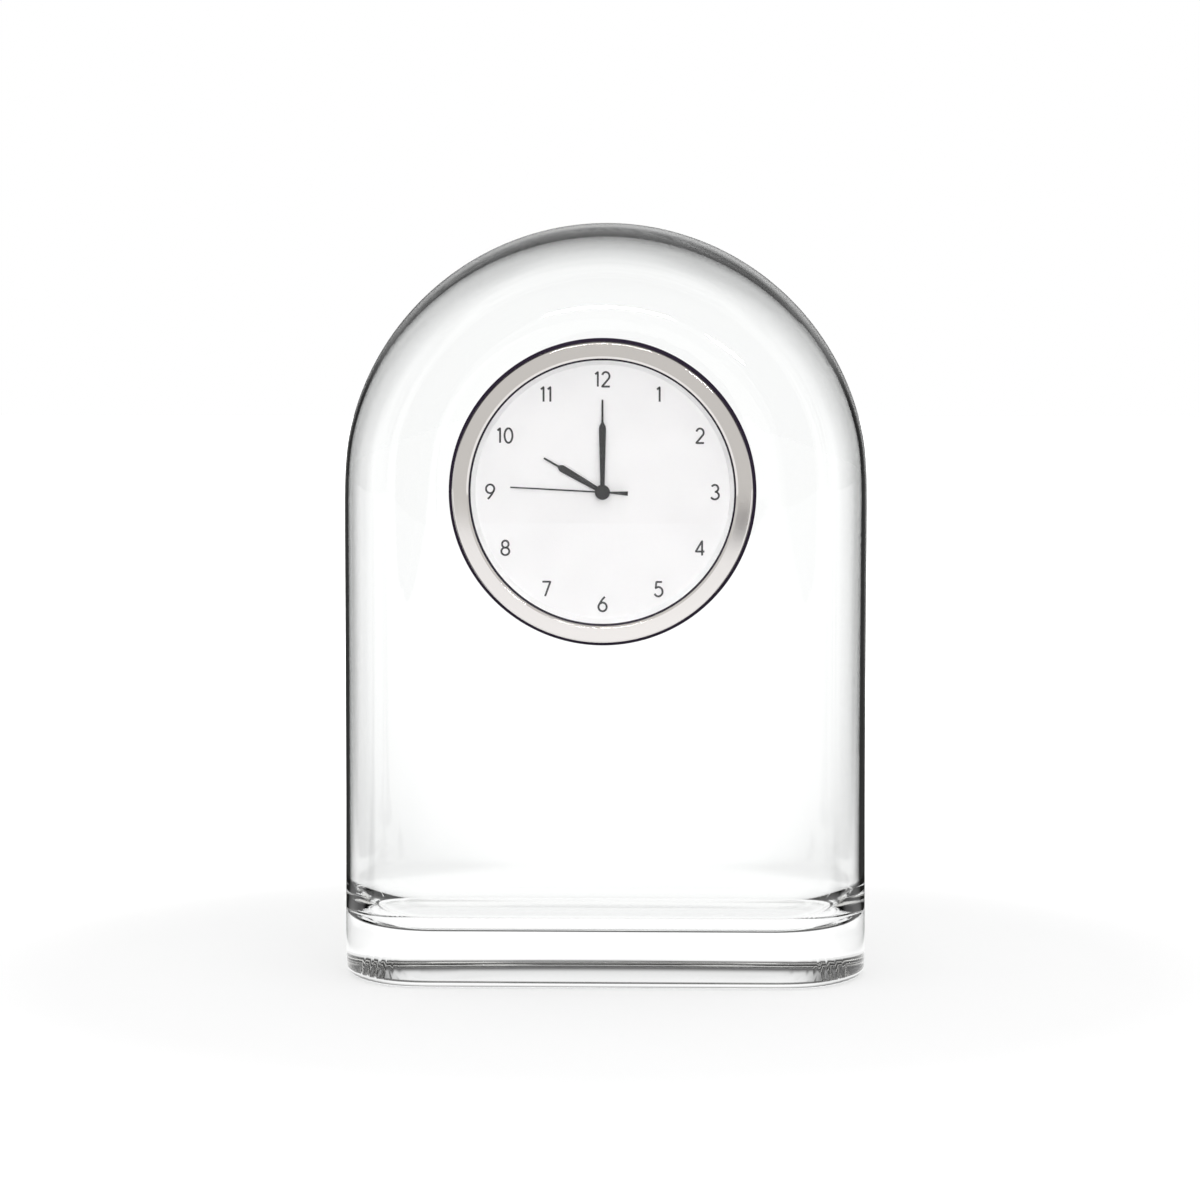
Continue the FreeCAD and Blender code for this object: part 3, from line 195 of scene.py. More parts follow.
# Light of the room, in pairs of the sine of an angle and the brightness there: to the side for light straight
# through the glass and for light thrown about in its wall, to the side high up, and upwards
STRAIGHT_LIGHT = [(0.08, 1.0), (0.2, 0.96), (0.3, 0.86), (0.45, 0.82), (0.9, 0.9)]
ASIDE_LIGHT = [(0.08, 1.0), (0.16, 0.85), (0.24, 0.3), (0.29, 0.02), (0.76, 0.02), (0.9, 0.9)]
HIGH_ASIDE_LIGHT = [(0.06, 1.0), (0.2, 0.88), (0.33, 0.5), (0.5, 0.1), (0.76, 0.1), (0.9, 0.9)]
ABOVE_LIGHT = [(0.04, 1.0), (0.12, 0.93), (0.21, 0.7), (0.3, 0.32), (0.38, 0.1)]
FRONT_LIGHT = (0.72, 0.71, 0.69)

# Lamps: place, width and height, and power in watts
WIDE_BOXES = {
    "overhead_box": ((0.1, -0.5, 1.4), (1.2, 1.2), 12),
    "front_box": ((0.1, -1.3, 0.6), (1.0, 0.8), 3.9),
}
STREAK_BOXES = {
    "streak_box_left": ((-0.03, -1.15, 0.32), (0.2, 0.035), 1.4),
    "streak_box_right": ((0.19, -1.15, 0.3), (0.1, 0.035), 1.0),
}


def put_in_scene(name, data):
    """A new object at the origin that shows a mesh, or holds a lamp or camera."""
    added = bpy.data.objects.new(name, data)
    bpy.context.scene.collection.objects.link(added)
    return added


def add_piece(name, mesh, slot, body):
    """A new piece in the finish of a slot, that moves with a body."""
    piece = put_in_scene(name, mesh)
    mesh.materials.clear()
    mesh.materials.append(FINISHES[slot])
    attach(piece, body)
    return piece


# Node trees

class Wire:
    """A socket of a node tree. A sum on it adds the Math nodes that work it out."""

    def __init__(self, nodes, socket):
        self.nodes = nodes
        self.socket = socket

    def math(self, operation, first, second):
        return self.nodes.node("ShaderNodeMath", {"operation": operation}, {0: first, 1: second})

    def __add__(self, other):
        return self.math("ADD", self, other)

    __radd__ = __add__

    def __sub__(self, other):
        return self.math("SUBTRACT", self, other)

    def __rsub__(self, other):
        return self.math("SUBTRACT", other, self)

    def __mul__(self, other):
        return self.math("MULTIPLY", self, other)

    __rmul__ = __mul__

    def __truediv__(self, other):
        return self.math("DIVIDE", self, other)

    def __rtruediv__(self, other):
        return self.math("DIVIDE", other, self)

    def __pow__(self, other):
        return self.math("POWER", self, other)

    def __abs__(self):
        return self.math("ABSOLUTE", self, 0)


class Nodes:
    """A node tree that is built by calls, with wires between them."""

    def __init__(self, tree):
        self.tree = tree

    def feed(self, socket, value):
        """Link a wire to a socket, or set the socket to a plain value."""
        if isinstance(value, Wire):
            self.tree.links.new(value.socket, socket)
        elif isinstance(value, tuple) and len(value) == 3 and socket.type == "RGBA":
            socket.default_value = (*value, 1)
        else:
            socket.default_value = value

    def node(self, kind, settings=None, inputs=None, output=0):
        """Add a node: its settings first, then the values or wires of its sockets."""
        added = self.tree.nodes.new(kind)
        for name, setting in (settings or {}).items():
            if name == "stops":
                self.stops(added.color_ramp, setting)
            else:
                setattr(added, name, setting)
        for name, value in (inputs or {}).items():
            self.feed(added.inputs[name], value)
        return Wire(self, added.outputs[output])

    def stops(self, ramp, stops):
        """Set a ramp's stops, given as pairs of a position and a colour or grey."""
        while len(ramp.elements) < len(stops):
            ramp.elements.new(0.5)
        for element, (position, colour) in zip(ramp.elements, stops):
            element.position = position
            shade = colour if isinstance(colour, tuple) else (colour,) * 3
            element.color = (*shade, 1)

    def ramp(self, wire, stops):
        """A smooth change of grey or colour along a wire's values."""
        return self.node("ShaderNodeValToRGB", {"stops": stops}, {"Fac": wire})

    def mix(self, share, first, second, blend="MIX"):
        """A mix of two colours, which are inputs 6 and 7 and output 2 of the Mix node."""
        settings = {"data_type": "RGBA", "blend_type": blend}
        return self.node("ShaderNodeMix", settings, {0: share, 6: first, 7: second}, 2)

    def parts(self, at):
        """The three coordinates of a place or direction."""
        split = self.node("ShaderNodeSeparateXYZ", None, {0: at}).socket.node
        return [Wire(self, socket) for socket in split.outputs]

    def step_up(self, wire, low, high):
        """Rise smoothly from 0 to 1 while a wire goes from low to high."""
        settings = {"interpolation_type": "SMOOTHSTEP"}
        span = {"Value": wire, "From Min": low, "From Max": high}
        return self.node("ShaderNodeMapRange", settings, span)

    def ray_is(self, *kinds):
        """1 for rays of any of these kinds, and 0 for the others."""
        path = self.node("ShaderNodeLightPath").socket.node
        first, *others = [Wire(self, path.outputs[f"Is {kind} Ray"]) for kind in kinds]
        for other in others:
            first = first + other
        return first.math("MINIMUM", first, 1)


class Finish(Nodes):
    """One material. Constants go on the shader's own sockets, and wires feed what changes."""

    def __init__(self, name, **constants):
        self.material = bpy.data.materials.new(name)
        self.material.use_nodes = True
        super().__init__(self.material.node_tree)
        self.shader = self.tree.nodes["Principled BSDF"]
        self.out = self.tree.nodes["Material Output"]
        for socket, value in constants.items():
            self.set(socket.replace("_", " "), value)

    def set(self, socket, value):
        self.feed(self.shader.inputs[socket], value)

    def place(self):
        """Where a point lies on the finished object, in metres."""
        return self.node("ShaderNodeTexCoord", output="Object")

    def noise(self, scale, detail=2, stretch=(1, 1, 1)):
        """Noise with features about 1 / scale metres wide, finer along an axis by its stretch."""
        mapped = self.node("ShaderNodeMapping", None, {"Vector": self.place(), "Scale": stretch})
        return self.node("ShaderNodeTexNoise", None, {"Vector": mapped, "Scale": scale, "Detail": detail})

    def bump(self, height, depth, strength=1.0):
        """Let a height, in shares of a depth in metres, tilt the surface."""
        inputs = {"Height": height, "Distance": depth, "Strength": strength}
        self.set("Normal", self.node("ShaderNodeBump", None, inputs))

    def let_lamps_through(self, tint):
        """Let rays from the lamps pass this glass, tinted once at each surface."""
        clear = self.node("ShaderNodeBsdfTransparent", None, {"Color": tint})
        path = self.node("ShaderNodeLightPath", output="Is Shadow Ray")
        shader = Wire(self, self.shader.outputs[0])
        mixed = self.node("ShaderNodeMixShader", None, {0: path, 1: shader, 2: clear})
        self.tree.links.new(mixed.socket, self.out.inputs["Surface"])


def clear_glass():
    """Blown glass: very clear, with faint upright cords in it and a little wear on the foot."""
    finish = Finish("clear_glass", Base_Color=(0.99, 0.995, 0.993), Transmission_Weight=1.0, IOR=1.42)
    up = finish.parts(finish.place())[2]
    foot = 1 - finish.step_up(up, 0.2 * MM, 1.2 * MM)
    scuffs = finish.noise(900, 3)
    finish.set("Roughness", foot * scuffs * 0.12)
    cords = finish.noise(22, 1, (1, 1, 0.35))
    finish.bump(cords, 0.3 * MM, 0.2)
    finish.let_lamps_through((0.93, 0.935, 0.93))
    return finish.material


def lens_glass():
    """Flat clock glass with faint smears. It mirrors little, so that the hands behind it stay dark."""
    finish = Finish("lens_glass", Base_Color=(0.995, 0.995, 0.995), Transmission_Weight=1.0, IOR=1.36)
    smears = finish.noise(60, 2)
    finish.set("Roughness", smears * 0.01)
    finish.let_lamps_through((0.985, 0.985, 0.985))
    return finish.material


def satin_metal(name, colour, roughness, grain=4000, depth=0.004 * MM):
    """Metal with a fine even grain and slightly uneven shine."""
    finish = Finish(name, Metallic=1.0)
    cloud = finish.noise(60, 3)
    light = tuple(min(1.0, c * 1.05) for c in colour)
    finish.set("Base Color", finish.mix(cloud, colour, light))
    finish.set("Roughness", roughness * 0.85 + cloud * (roughness * 0.3))
    finish.bump(finish.noise(grain, 2), depth)
    return finish.material


def moulded(name, colour, roughness, grain=2500, depth=0.01 * MM, **more):
    """Moulded, painted or printed stuff with a fine grain and faint clouds of tone."""
    finish = Finish(name, **more)
    cloud = finish.noise(90, 3)
    light = tuple(min(1.0, c * 1.12 + 0.004) for c in colour)
    finish.set("Base Color", finish.mix(cloud, colour, light))
    finish.set("Roughness", roughness * 0.9 + cloud * (roughness * 0.2))
    finish.bump(finish.noise(grain, 3), depth)
    return finish.material


def wound_wire():
    """Fine enamelled wire laid side by side round the coil's core."""
    finish = Finish("wound_wire", Metallic=0.9)
    turns = {"Scale": 2600, "Distortion": 0.6, "Detail": 2, "Detail Scale": 0.4}
    lay = finish.node("ShaderNodeTexWave", {"bands_direction": "X", "wave_profile": "SIN"}, turns)
    tone = finish.noise(120, 2)
    finish.set("Base Color", finish.mix(tone, (0.55, 0.2, 0.09), (0.8, 0.36, 0.16)))
    finish.set("Roughness", 0.3 + lay * 0.1)
    finish.bump(lay, 0.03 * MM)
    return finish.material


def make_finishes():
    """The finish of each of the record's material slots, and of the ink and the battery cover."""
    rubber = moulded("black_rubber", (0.012, 0.005, 0.02), 0.45,
                     grain=1800, depth=0.02 * MM, Specular_IOR_Level=0.12)
    ink = moulded("grey_ink", (0.022, 0.022, 0.026), 0.5,
                  grain=6000, depth=0.002 * MM, Specular_IOR_Level=0.25)
    lacquer = moulded("black_hand_lacquer", (0.012, 0.012, 0.014), 0.45,
                      grain=4000, depth=0.004 * MM, Specular_IOR_Level=0.25)
    board = moulded("green_lacquer", (0.03, 0.16, 0.07), 0.3, grain=1200, Coat_Weight=0.5)
    return {
        "glass": clear_glass(),
        "seal": rubber,
        "bezel": satin_metal("turned_steel", (0.75, 0.725, 0.71), 0.05, grain=5000, depth=0.001 * MM),
        "lens": lens_glass(),
        "reflector": moulded("white_satin", (0.86, 0.86, 0.865), 0.35),
        "dial": moulded("printed_white", (0.88, 0.875, 0.885), 0.6, grain=6000, depth=0.004 * MM),
        "ink": ink,
        "hands": lacquer,
        "case": moulded("black_moulding", (0.04, 0.04, 0.044), 0.42, grain=3200, depth=0.006 * MM),
        "cover": moulded("grey_moulding", (0.13, 0.13, 0.14), 0.5, grain=2600, depth=0.006 * MM),
        "plates": moulded("natural_moulding", (0.78, 0.76, 0.7), 0.5),
        "wheels": moulded("natural_acetal", (0.85, 0.84, 0.8), 0.38),
        "brass": satin_metal("turned_brass", (0.83, 0.62, 0.28), 0.25),
        "steel": satin_metal("bright_steel", (0.62, 0.62, 0.62), 0.25),
        "magnet": satin_metal("sintered_magnet", (0.2, 0.2, 0.21), 0.5, grain=3000, depth=0.01 * MM),
        "copper": wound_wire(),
        "board": board,
        "resin": moulded("black_resin", (0.02, 0.02, 0.02), 0.3, grain=1500, depth=0.03 * MM),
        "can": satin_metal("drawn_can", (0.8, 0.8, 0.8), 0.2),
        "cell": satin_metal("bright_nickel", (0.75, 0.74, 0.71), 0.16),
    }


FINISHES = make_finishes()


def dress_nodes():
    """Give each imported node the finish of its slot, but the battery cover its own."""
    for row in frame["record"]["subparts"]:
        node = frame["nodes"][row["node"]]
        finish = FINISHES["cover" if row["node"] == "battery_cover" else row["material_slot"]]
        for slot in node.material_slots:
            slot.material = finish
        if not node.material_slots:
            node.data.materials.append(finish)


# Glass body

def section_distance(across, depth, inset):
    """How far a point lies outside the section, with its outline moved in by an inset."""
    depth = np.abs(depth)
    flat = depth - HALF_DEPTH
    from_x = across - FLAT_HALF_WIDTH
    from_y = depth - SHOULDER_DEPTH
    shoulder = np.hypot(from_x, from_y) - SHOULDER_RADIUS
    side = np.hypot(across - SIDE_CENTRE, depth) - SIDE_RADIUS
    curved = np.where(from_y > SHOULDER_LEAN * from_x, shoulder, side)
    return np.where(across < FLAT_HALF_WIDTH, flat, curved) + inset


def soft_section(across, depth, inset):
    """The section's distance, averaged over a small ring of places, so flats run softly into arcs."""
    total = 0
    for step in range(SOFT_PLACES):
        angle = math.tau * (step + 0.5) / SOFT_PLACES
        beside = np.abs(across + SOFTNESS * math.cos(angle))
        total = total + section_distance(beside, depth + SOFTNESS * math.sin(angle), inset)
    return total / SOFT_PLACES


def swell(points):
    """Slow swells of hand-blown glass, but none at the hole or under the foot.

    One wave runs in patches and the other aslant. Their counts and shifts are free choices.
    """
    x, y, z = (points[..., axis] / SWELL_LENGTH for axis in range(3))
    patches = np.sin(x * 5 + 0.7) * np.sin(z * 4.4 + 1.3 + y)
    wave = patches + 0.5 * np.sin((x + z) * 9 + y * 4 + 2.1)
    from_hole = np.hypot(points[..., 0], points[..., 2] - DIAL_HEIGHT) - HOLE_RADIUS
    clear = np.where(points[..., 1] > 0, 1, np.clip(from_hole / SWELL_FADE, 0, 1))
    return SWELL_DEPTH * wave * clear * np.clip(points[..., 2] / SWELL_FADE, 0, 1)


def form_normals(points, inset, floor, foot):
    """Which way the body's form faces at points on it."""
    slopes = []
    for axis in range(3):
        step = np.zeros(3)
        step[axis] = NORMAL_STEP
        ahead = form_distance(points + step, inset, floor, foot)
        slopes.append(ahead - form_distance(points - step, inset, floor, foot))
    slopes = np.stack(slopes, axis=-1)
    return slopes / np.linalg.norm(slopes, axis=-1, keepdims=True)


def added_wall(across, x, above):
    """How much thicker than its thinnest the wall is: most at the top, a little at the right."""
    share = np.clip((across - THIN_WALL_REACH) / (FULL_WALL_REACH - THIN_WALL_REACH), 0, 1)
    rise = np.clip(above / HALF_WIDTH, 0, 1) ** 2
    return share * (WALL_ADDED_TOP * rise + WALL_ADDED_RIGHT * np.clip(x / HALF_WIDTH, 0, 1))


def form_distance(points, inset, floor, foot):
    """How far points lie outside the body's form: the arched section, standing on a rounded foot."""
    x, y, z = points[..., 0], points[..., 1], points[..., 2]
    above = z - DIAL_HEIGHT
    bend = (above + ARCH_START) ** 2 / (4 * ARCH_START)
    above = np.where(above > ARCH_START, above, np.where(above < -ARCH_START, 0, bend))
    across = np.hypot(x, above)
    if inset:
        inset = inset + added_wall(across, x, above)
    wall = soft_section(across, y, inset) + swell(points) + foot
    base = floor + foot - z
    corner = (np.maximum(wall, 0) ** FOOT_POWER + np.maximum(base, 0) ** FOOT_POWER) ** (1 / FOOT_POWER)
    return np.minimum(np.maximum(wall, base), 0) + corner - foot


def silhouette(half_width, floor, foot):
    """Points along the front outline, anticlockwise from the arch's right end, closer at the corners."""
    leg = DIAL_HEIGHT - floor - foot
    side = half_width - foot

    def round_about(centre, radius, start, turn, count):
        angles = start + turn * np.arange(count) / count
        return np.stack((centre[0] + radius * np.cos(angles), centre[1] + radius * np.sin(angles)), axis=1)

    def straight(start, end, count):
        return np.linspace(start, end, count + 1)[:-1]

    return np.concatenate((
        round_about((0, 0), half_width, 0, math.pi, ARCH_SPOTS),
        straight((-half_width, 0), (-half_width, -leg), LEG_SPOTS),
        round_about((-side, -leg), foot, math.pi, math.pi / 2, CORNER_SPOTS),
        straight((-side, -leg - foot), (side, -leg - foot), BASE_SPOTS),
        round_about((side, -leg), foot, -math.pi / 2, math.pi / 2, CORNER_SPOTS),
        straight((half_width, -leg), (half_width, 0), LEG_SPOTS),
    ))


def profile_rays(spot, half_depth, inset, floor, foot):
    """The body's outline in the half-plane through the dial's axis and one spot of the silhouette.

    Rays fan out from a pivot, and each is halved until its end lies on the form. Flat faces run from over the
    pivot to the hole in front, and to the axis at the back.
    """
    reach = np.linalg.norm(spot)
    heading = np.array((spot[0] / reach, 0, spot[1] / reach))
    pivot = reach - half_depth
    angles = np.linspace(-math.pi / 2, math.pi / 2, PROFILE_RAYS)
    forward = np.cos(angles)
    back = np.sin(angles)
    low = np.zeros(PROFILE_RAYS)
    high = np.full(PROFILE_RAYS, RAY_REACH * half_depth)
    for _ in range(HALVINGS):
        middle = (low + high) / 2
        points = DIAL_CENTRE_ROW + heading * (pivot + middle * forward)[:, None]
        points[:, 1] = middle * back
        outside = form_distance(points, inset, floor, foot) > 0
        high = np.where(outside, middle, high)
        low = np.where(outside, low, middle)
    radius = pivot + low * forward
    depth = low * back
    front = np.linspace(HOLE_RADIUS, pivot, PROFILE_RAYS // 3)[:-1]
    rear = np.linspace(pivot, 0, PROFILE_RAYS // 3)[1:]
    radius = np.concatenate((front, radius, rear))
    front_depth = np.full(len(front), -half_depth)
    rear_depth = np.full(len(rear), half_depth)
    return heading, radius, np.concatenate((front_depth, depth, rear_depth))


def even_out(radius, depth, count):
    """Share out points along an outline, closer where it bends."""
    run = np.diff(radius)
    rise = np.diff(depth)
    length = np.hypot(run, rise)
    heading = np.unwrap(np.arctan2(rise, run))
    turn = np.abs(np.diff(heading, prepend=heading[0]))
    weight = np.concatenate(([0], np.cumsum(length / POINT_SPACING + turn / POINT_BEND)))
    wanted = np.linspace(0, weight[-1], count)
    return np.interp(wanted, weight, radius), np.interp(wanted, weight, depth)


def form_grid(count, inset, floor, foot):
    """Points on the body's form: a row for each spot of the silhouette, from the hole to the back."""
    spots = silhouette(HALF_WIDTH - inset, floor, foot)
    rows = []
    for spot in spots:
        heading, radius, depth = profile_rays(spot, HALF_DEPTH - inset, inset, floor, foot)
        radius, depth = even_out(radius, depth, count)
        points = DIAL_CENTRE_ROW + heading * radius[:, None]
        points[:, 1] = depth
        rows.append(points)
    return np.array(rows)


def bore_edge(heading):
    """The ground edge of the hole, from the front wall's inner face to its outer one: points and normals."""
    front = -HALF_DEPTH
    back = WALL - HALF_DEPTH
    rounds = np.linspace(0, math.pi / 2, BORE_EDGE_POINTS)
    spots = [(turn, back, -1) for turn in rounds] + [(turn, front, 1) for turn in rounds[::-1]]
    points, normals = [], []
    for turn, face, inward in spots:
        point = DIAL_CENTRE_ROW + heading * (HOLE_RADIUS + BORE_EDGE * (1 - math.sin(turn)))
        point[1] = face + inward * BORE_EDGE * (1 - math.cos(turn))
        normal = -heading * math.sin(turn)
        normal[1] = -inward * math.cos(turn)
        points.append(point)
        normals.append(normal)
    return np.array(points), np.array(normals)


def make_glass_body():
    """The blown body: outside and hollow, joined at the hole by its ground and polished edge.

    Each row of points starts on the hollow's back, runs round to the hole, over its edge, and along the outside
    to the back. The first two points of the mesh are the poles of the hollow and of the outside.
    """
    outer_form = (0, 0, FOOT_RADIUS)
    hollow_form = (WALL, GLASS_FLOOR, CAVITY_FOOT)
    outside = form_grid(OUTSIDE_POINTS, *outer_form)
    inside = form_grid(HOLLOW_POINTS, *hollow_form)
    faces_out = form_normals(outside, *outer_form)
    faces_in = -form_normals(inside, *hollow_form)
    points = [inside[0][-1], outside[0][-1]]
    normals = [(0, -1, 0), (0, 1, 0)]
    polygons = []
    for out, inn, out_way, in_way in zip(outside, inside, faces_out, faces_in):
        toward = out[0] - DIAL_CENTRE_ROW
        toward[1] = 0
        edge, edge_way = bore_edge(toward / np.linalg.norm(toward))
        points += [*inn[-2:0:-1], *edge, *out[1:-1]]
        normals += [*in_way[-2:0:-1], *edge_way, *out_way[1:-1]]
    around = len(outside)
    count = (len(points) - 2) // around
    for here in range(around):
        mine = 2 + here * count
        following = 2 + (here + 1) % around * count
        polygons.append((0, mine, following))
        polygons.append((1, following + count - 1, mine + count - 1))
        right = points[mine + count // 2][0] > 0
        for step in range(count - 1):
            corners = (mine + step, mine + step + 1, following + step + 1, following + step)
            # A face is split in two at its first corner. On the right it starts one later, to mirror the left.
            polygons.append(corners[1:] + corners[:1] if right else corners)
    data = bpy.data.meshes.new("blown_body")
    data.from_pydata(points, [], polygons)
    data.update()
    data.shade_smooth()
    data.normals_split_custom_set_from_vertices([Vector(normal) for normal in normals])
    piece = add_piece("blown_body", data, "glass", "glass")
    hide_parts("glass_body")


# Insert

def turned(name, outline, slot, body, sharp, steps=TURN_STEPS):
    """A piece turned about the dial's axis, from a closed outline of radii and depths in millimetres."""
    mesh = bmesh.new()
    rings = []
    for step in range(steps):
        angle = math.tau * step / steps
        ring = []
        for radius, depth in outline:
            away = radius * MM
            at = Vector((away * math.sin(angle), depth * MM, away * math.cos(angle)))
            ring.append(mesh.verts.new(at + DIAL_CENTRE))
        rings.append(ring)
    for here, ring in enumerate(rings):
        following = rings[(here + 1) % steps]
        for at in range(len(outline)):
            after = (at + 1) % len(outline)
            mesh.faces.new((ring[at], ring[after], following[after], following[at]))
    bmesh.ops.remove_doubles(mesh, verts=mesh.verts, dist=MERGE_GAP)
    bmesh.ops.recalc_face_normals(mesh, faces=mesh.faces)
    return from_bmesh(name, mesh, slot, body, sharp)


def from_bmesh(name, mesh, slot, body, sharp):
    """Make a piece from a mesh, smooth but for edges sharper than an angle in degrees."""
    data = bpy.data.meshes.new(name)
    for polygon in mesh.faces:
        polygon.smooth = True
    mesh.to_mesh(data)
    mesh.free()
    data.set_sharp_from_angle(angle=math.radians(sharp))
    piece = add_piece(name, data, slot, body)
    flatten = piece.modifiers.new("flatten", "WEIGHTED_NORMAL")
    flatten.weight = 100
    flatten.keep_sharp = True
    seen = piece.evaluated_get(bpy.context.evaluated_depsgraph_get())
    piece.data = bpy.data.meshes.new_from_object(seen)
    piece.modifiers.remove(flatten)
    return piece


def round_corner(points, corner, size):
    """Points of a rounded corner, of a size in millimetres, for one point of an outline."""
    before, at, after = (Vector(points[(corner + way) % len(points)]) for way in (-1, 0, 1))
    start = at + (before - at).normalized() * size
    stop = at + (after - at).normalized() * size
    arc = []
    for step in range(ROUNDING_STEPS + 1):
        share = step / ROUNDING_STEPS
        one = start.lerp(at, share)
        two = at.lerp(stop, share)
        arc.append(tuple(one.lerp(two, share)))
    return arc


def softened(points, sizes):
    """An outline with rounded corners: one size for each point."""
    outline = []
    for corner, size in enumerate(sizes):
        outline += round_corner(points, corner, size) if size else [points[corner]]
    return outline


def make_bezel():
    """Turned steel ring: a flat polished face with a bevel inside and a bright broken edge outside."""
    points = [
        (BEZEL_RADIUS, BEZEL_BACK),
        (BEZEL_RADIUS, BEZEL_FACE + BEZEL_BREAK),
        (BEZEL_RADIUS - BEZEL_BREAK, BEZEL_FACE),
        (BEZEL_MOUTH + BEZEL_BEVEL_WIDTH, BEZEL_FACE),
        (BEZEL_MOUTH, BEZEL_FACE + BEZEL_BEVEL_DEPTH),
        (BEZEL_MOUTH, BEZEL_BACK),
    ]
    outline = softened(points, [0.05, 0.08, 0.1, 0.05, 0.05, 0.05])
    piece = turned("steel_bezel", outline, "bezel", "insert", sharp=25, steps=256)
    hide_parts("bezel")


def make_lens():
    """Flat lens with ground edges, and a dark ring round its rim under the bezel's mouth: painted shade that
    stands in for the shadow in the gap between the bezel's lip and the lens.
    """
    flat = LENS_RADIUS - LENS_CHAMFER
    outline = [(0, LENS_FACE), (flat, LENS_FACE), (LENS_RADIUS, LENS_FACE + LENS_CHAMFER)]
    outline += [(LENS_RADIUS, LENS_BACK - LENS_CHAMFER), (flat, LENS_BACK), (0, LENS_BACK)]
    glass = turned("flat_lens", outline, "lens", "insert", sharp=20)
    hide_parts("lens")
    # A dark ring in the black rubber's finish on the lens's back: painted shade for the shadow in the gap under
    # the bezel's mouth.
    line = [(SHADE_RING_BORE, SHADE_RING_FRONT), (flat, SHADE_RING_FRONT), (flat, SHADE_RING_BACK), (SHADE_RING_BORE, SHADE_RING_BACK)]
    turned("lens_rim_painted_shade", line, "seal", "insert", sharp=20)


def make_reflector_ring():
    """Pale ring that slopes from the lens down to the dial."""
    points = [
        (SLOPE_TOP, LENS_BACK),
        (LENS_RADIUS, LENS_BACK),
        (LENS_RADIUS, DIAL_FACE),
        (SLOPE_FOOT, DIAL_FACE),
    ]
    piece = turned("white_slope", softened(points, [0.15, 0, 0, 0.1]), "reflector", "insert", sharp=30)
    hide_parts("reflector_ring")


def make_seal_ring():
    """Soft ring: a flange behind the bezel, and a sleeve whose ribs grip the hole."""
    outline = [
        (SLEEVE_RADIUS, FLANGE_BACK),
        (FLANGE_RADIUS - 0.25, FLANGE_BACK),
        (FLANGE_RADIUS, FLANGE_BACK - 0.15),
        (FLANGE_RADIUS, BEZEL_BACK + 0.15),
        (FLANGE_RADIUS - 0.2, BEZEL_BACK),
        (SLEEVE_BORE, BEZEL_BACK),
        (SLEEVE_BORE, SLEEVE_BACK),
        (SLEEVE_RADIUS - 0.1, SLEEVE_BACK),
        (SLEEVE_RADIUS, SLEEVE_BACK - 0.1),
    ]
    for rib in range(SEAL_RIBS):
        middle = FIRST_SEAL_RIB - SEAL_RIB_PITCH * rib
        for turn in range(SEAL_RIB_POINTS):
            angle = math.pi * turn / (SEAL_RIB_POINTS - 1)
            rise = SEAL_RIB_RISE * math.sin(angle)
            outline.append((SLEEVE_RADIUS + rise, middle + SEAL_RIB_HALF_WIDTH * math.cos(angle)))
    piece = turned("ribbed_seal", outline, "seal", "insert", sharp=35)
    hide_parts("seal_ring")


def make_dial():
    """White printed disc with a hole for the hands' tubes."""
    points = [
        (DIAL_BORE, DIAL_FACE),
        (DIAL_RADIUS, DIAL_FACE),
        (DIAL_RADIUS, DIAL_BACK),
        (DIAL_BORE, DIAL_BACK),
    ]
    piece = turned("white_dial", softened(points, [0, 0.06, 0.06, 0]), "dial", "insert", sharp=30)
    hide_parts("dial")


# Numbers of the dial: strokes in a box one high, as lists of points

def bow(centre, size, start, stop, count):
    """Points of an arc of an ellipse, between two angles in degrees from the right, anticlockwise."""
    angles = [math.radians(start + (stop - start) * step / count) for step in range(count + 1)]
    return [(centre[0] + size[0] * math.cos(a), centre[1] + size[1] * math.sin(a)) for a in angles]


def held_corners(stroke):
    """A stroke with a point close to each end of its long straights, which keeps their full width."""
    points = [stroke[0]]
    for start, end in zip(stroke, stroke[1:]):
        length = math.dist(start, end)
        if length > 4 * CORNER_HOLD:
            near = CORNER_HOLD / length
            for share in (near, 1 - near):
                points.append(tuple(here + (there - here) * share for here, there in zip(start, end)))
        points.append(end)
    return points


def turned_over(strokes, width):
    """Strokes turned half round, as a 6 is turned into a 9."""
    return [[(width - x, 1 - y) for x, y in stroke] for stroke in strokes]


SIX_STEM = [(0.47, 1.0), (0.33, 0.86), (0.2, 0.68), (0.09, 0.48), (0.04, 0.36)]
SIX = [SIX_STEM + bow((0.31, 0.3), (0.285, 0.3), 170, 530, 36)]
STROKES = {
    "0": (0.62, [bow((0.31, 0.5), (0.27, 0.5), 90, 450, 40)]),
    "1": (0.3, [[(0.02, 0.84), (0.2, 1.0), (0.2, 0.0)]]),
    "2": (0.58, [bow((0.28, 0.72), (0.25, 0.28), 165, -38, 26) + [(0.02, 0.0), (0.56, 0.0)]]),
    "3": (0.58, [
        bow((0.27, 0.755), (0.235, 0.245), 150, -90, 24),
        bow((0.27, 0.26), (0.28, 0.26), 90, -155, 26),
    ]),
    "4": (0.62, [[(0.46, 0.0), (0.46, 1.0), (0.02, 0.27), (0.62, 0.27)]]),
    "5": (0.58, [
        [(0.52, 1.0), (0.13, 1.0), (0.075, 0.56)] + bow((0.27, 0.325), (0.285, 0.325), 130, -155, 30),
    ]),
    "6": (0.62, SIX),
    "7": (0.56, [[(0.0, 1.0), (0.55, 1.0), (0.19, 0.0)]]),
    "8": (0.58, [
        bow((0.29, 0.755), (0.225, 0.245), 90, 450, 36),
        bow((0.29, 0.26), (0.275, 0.26), 90, 450, 36),
    ]),
    "9": (0.62, turned_over(SIX, 0.62)),
}


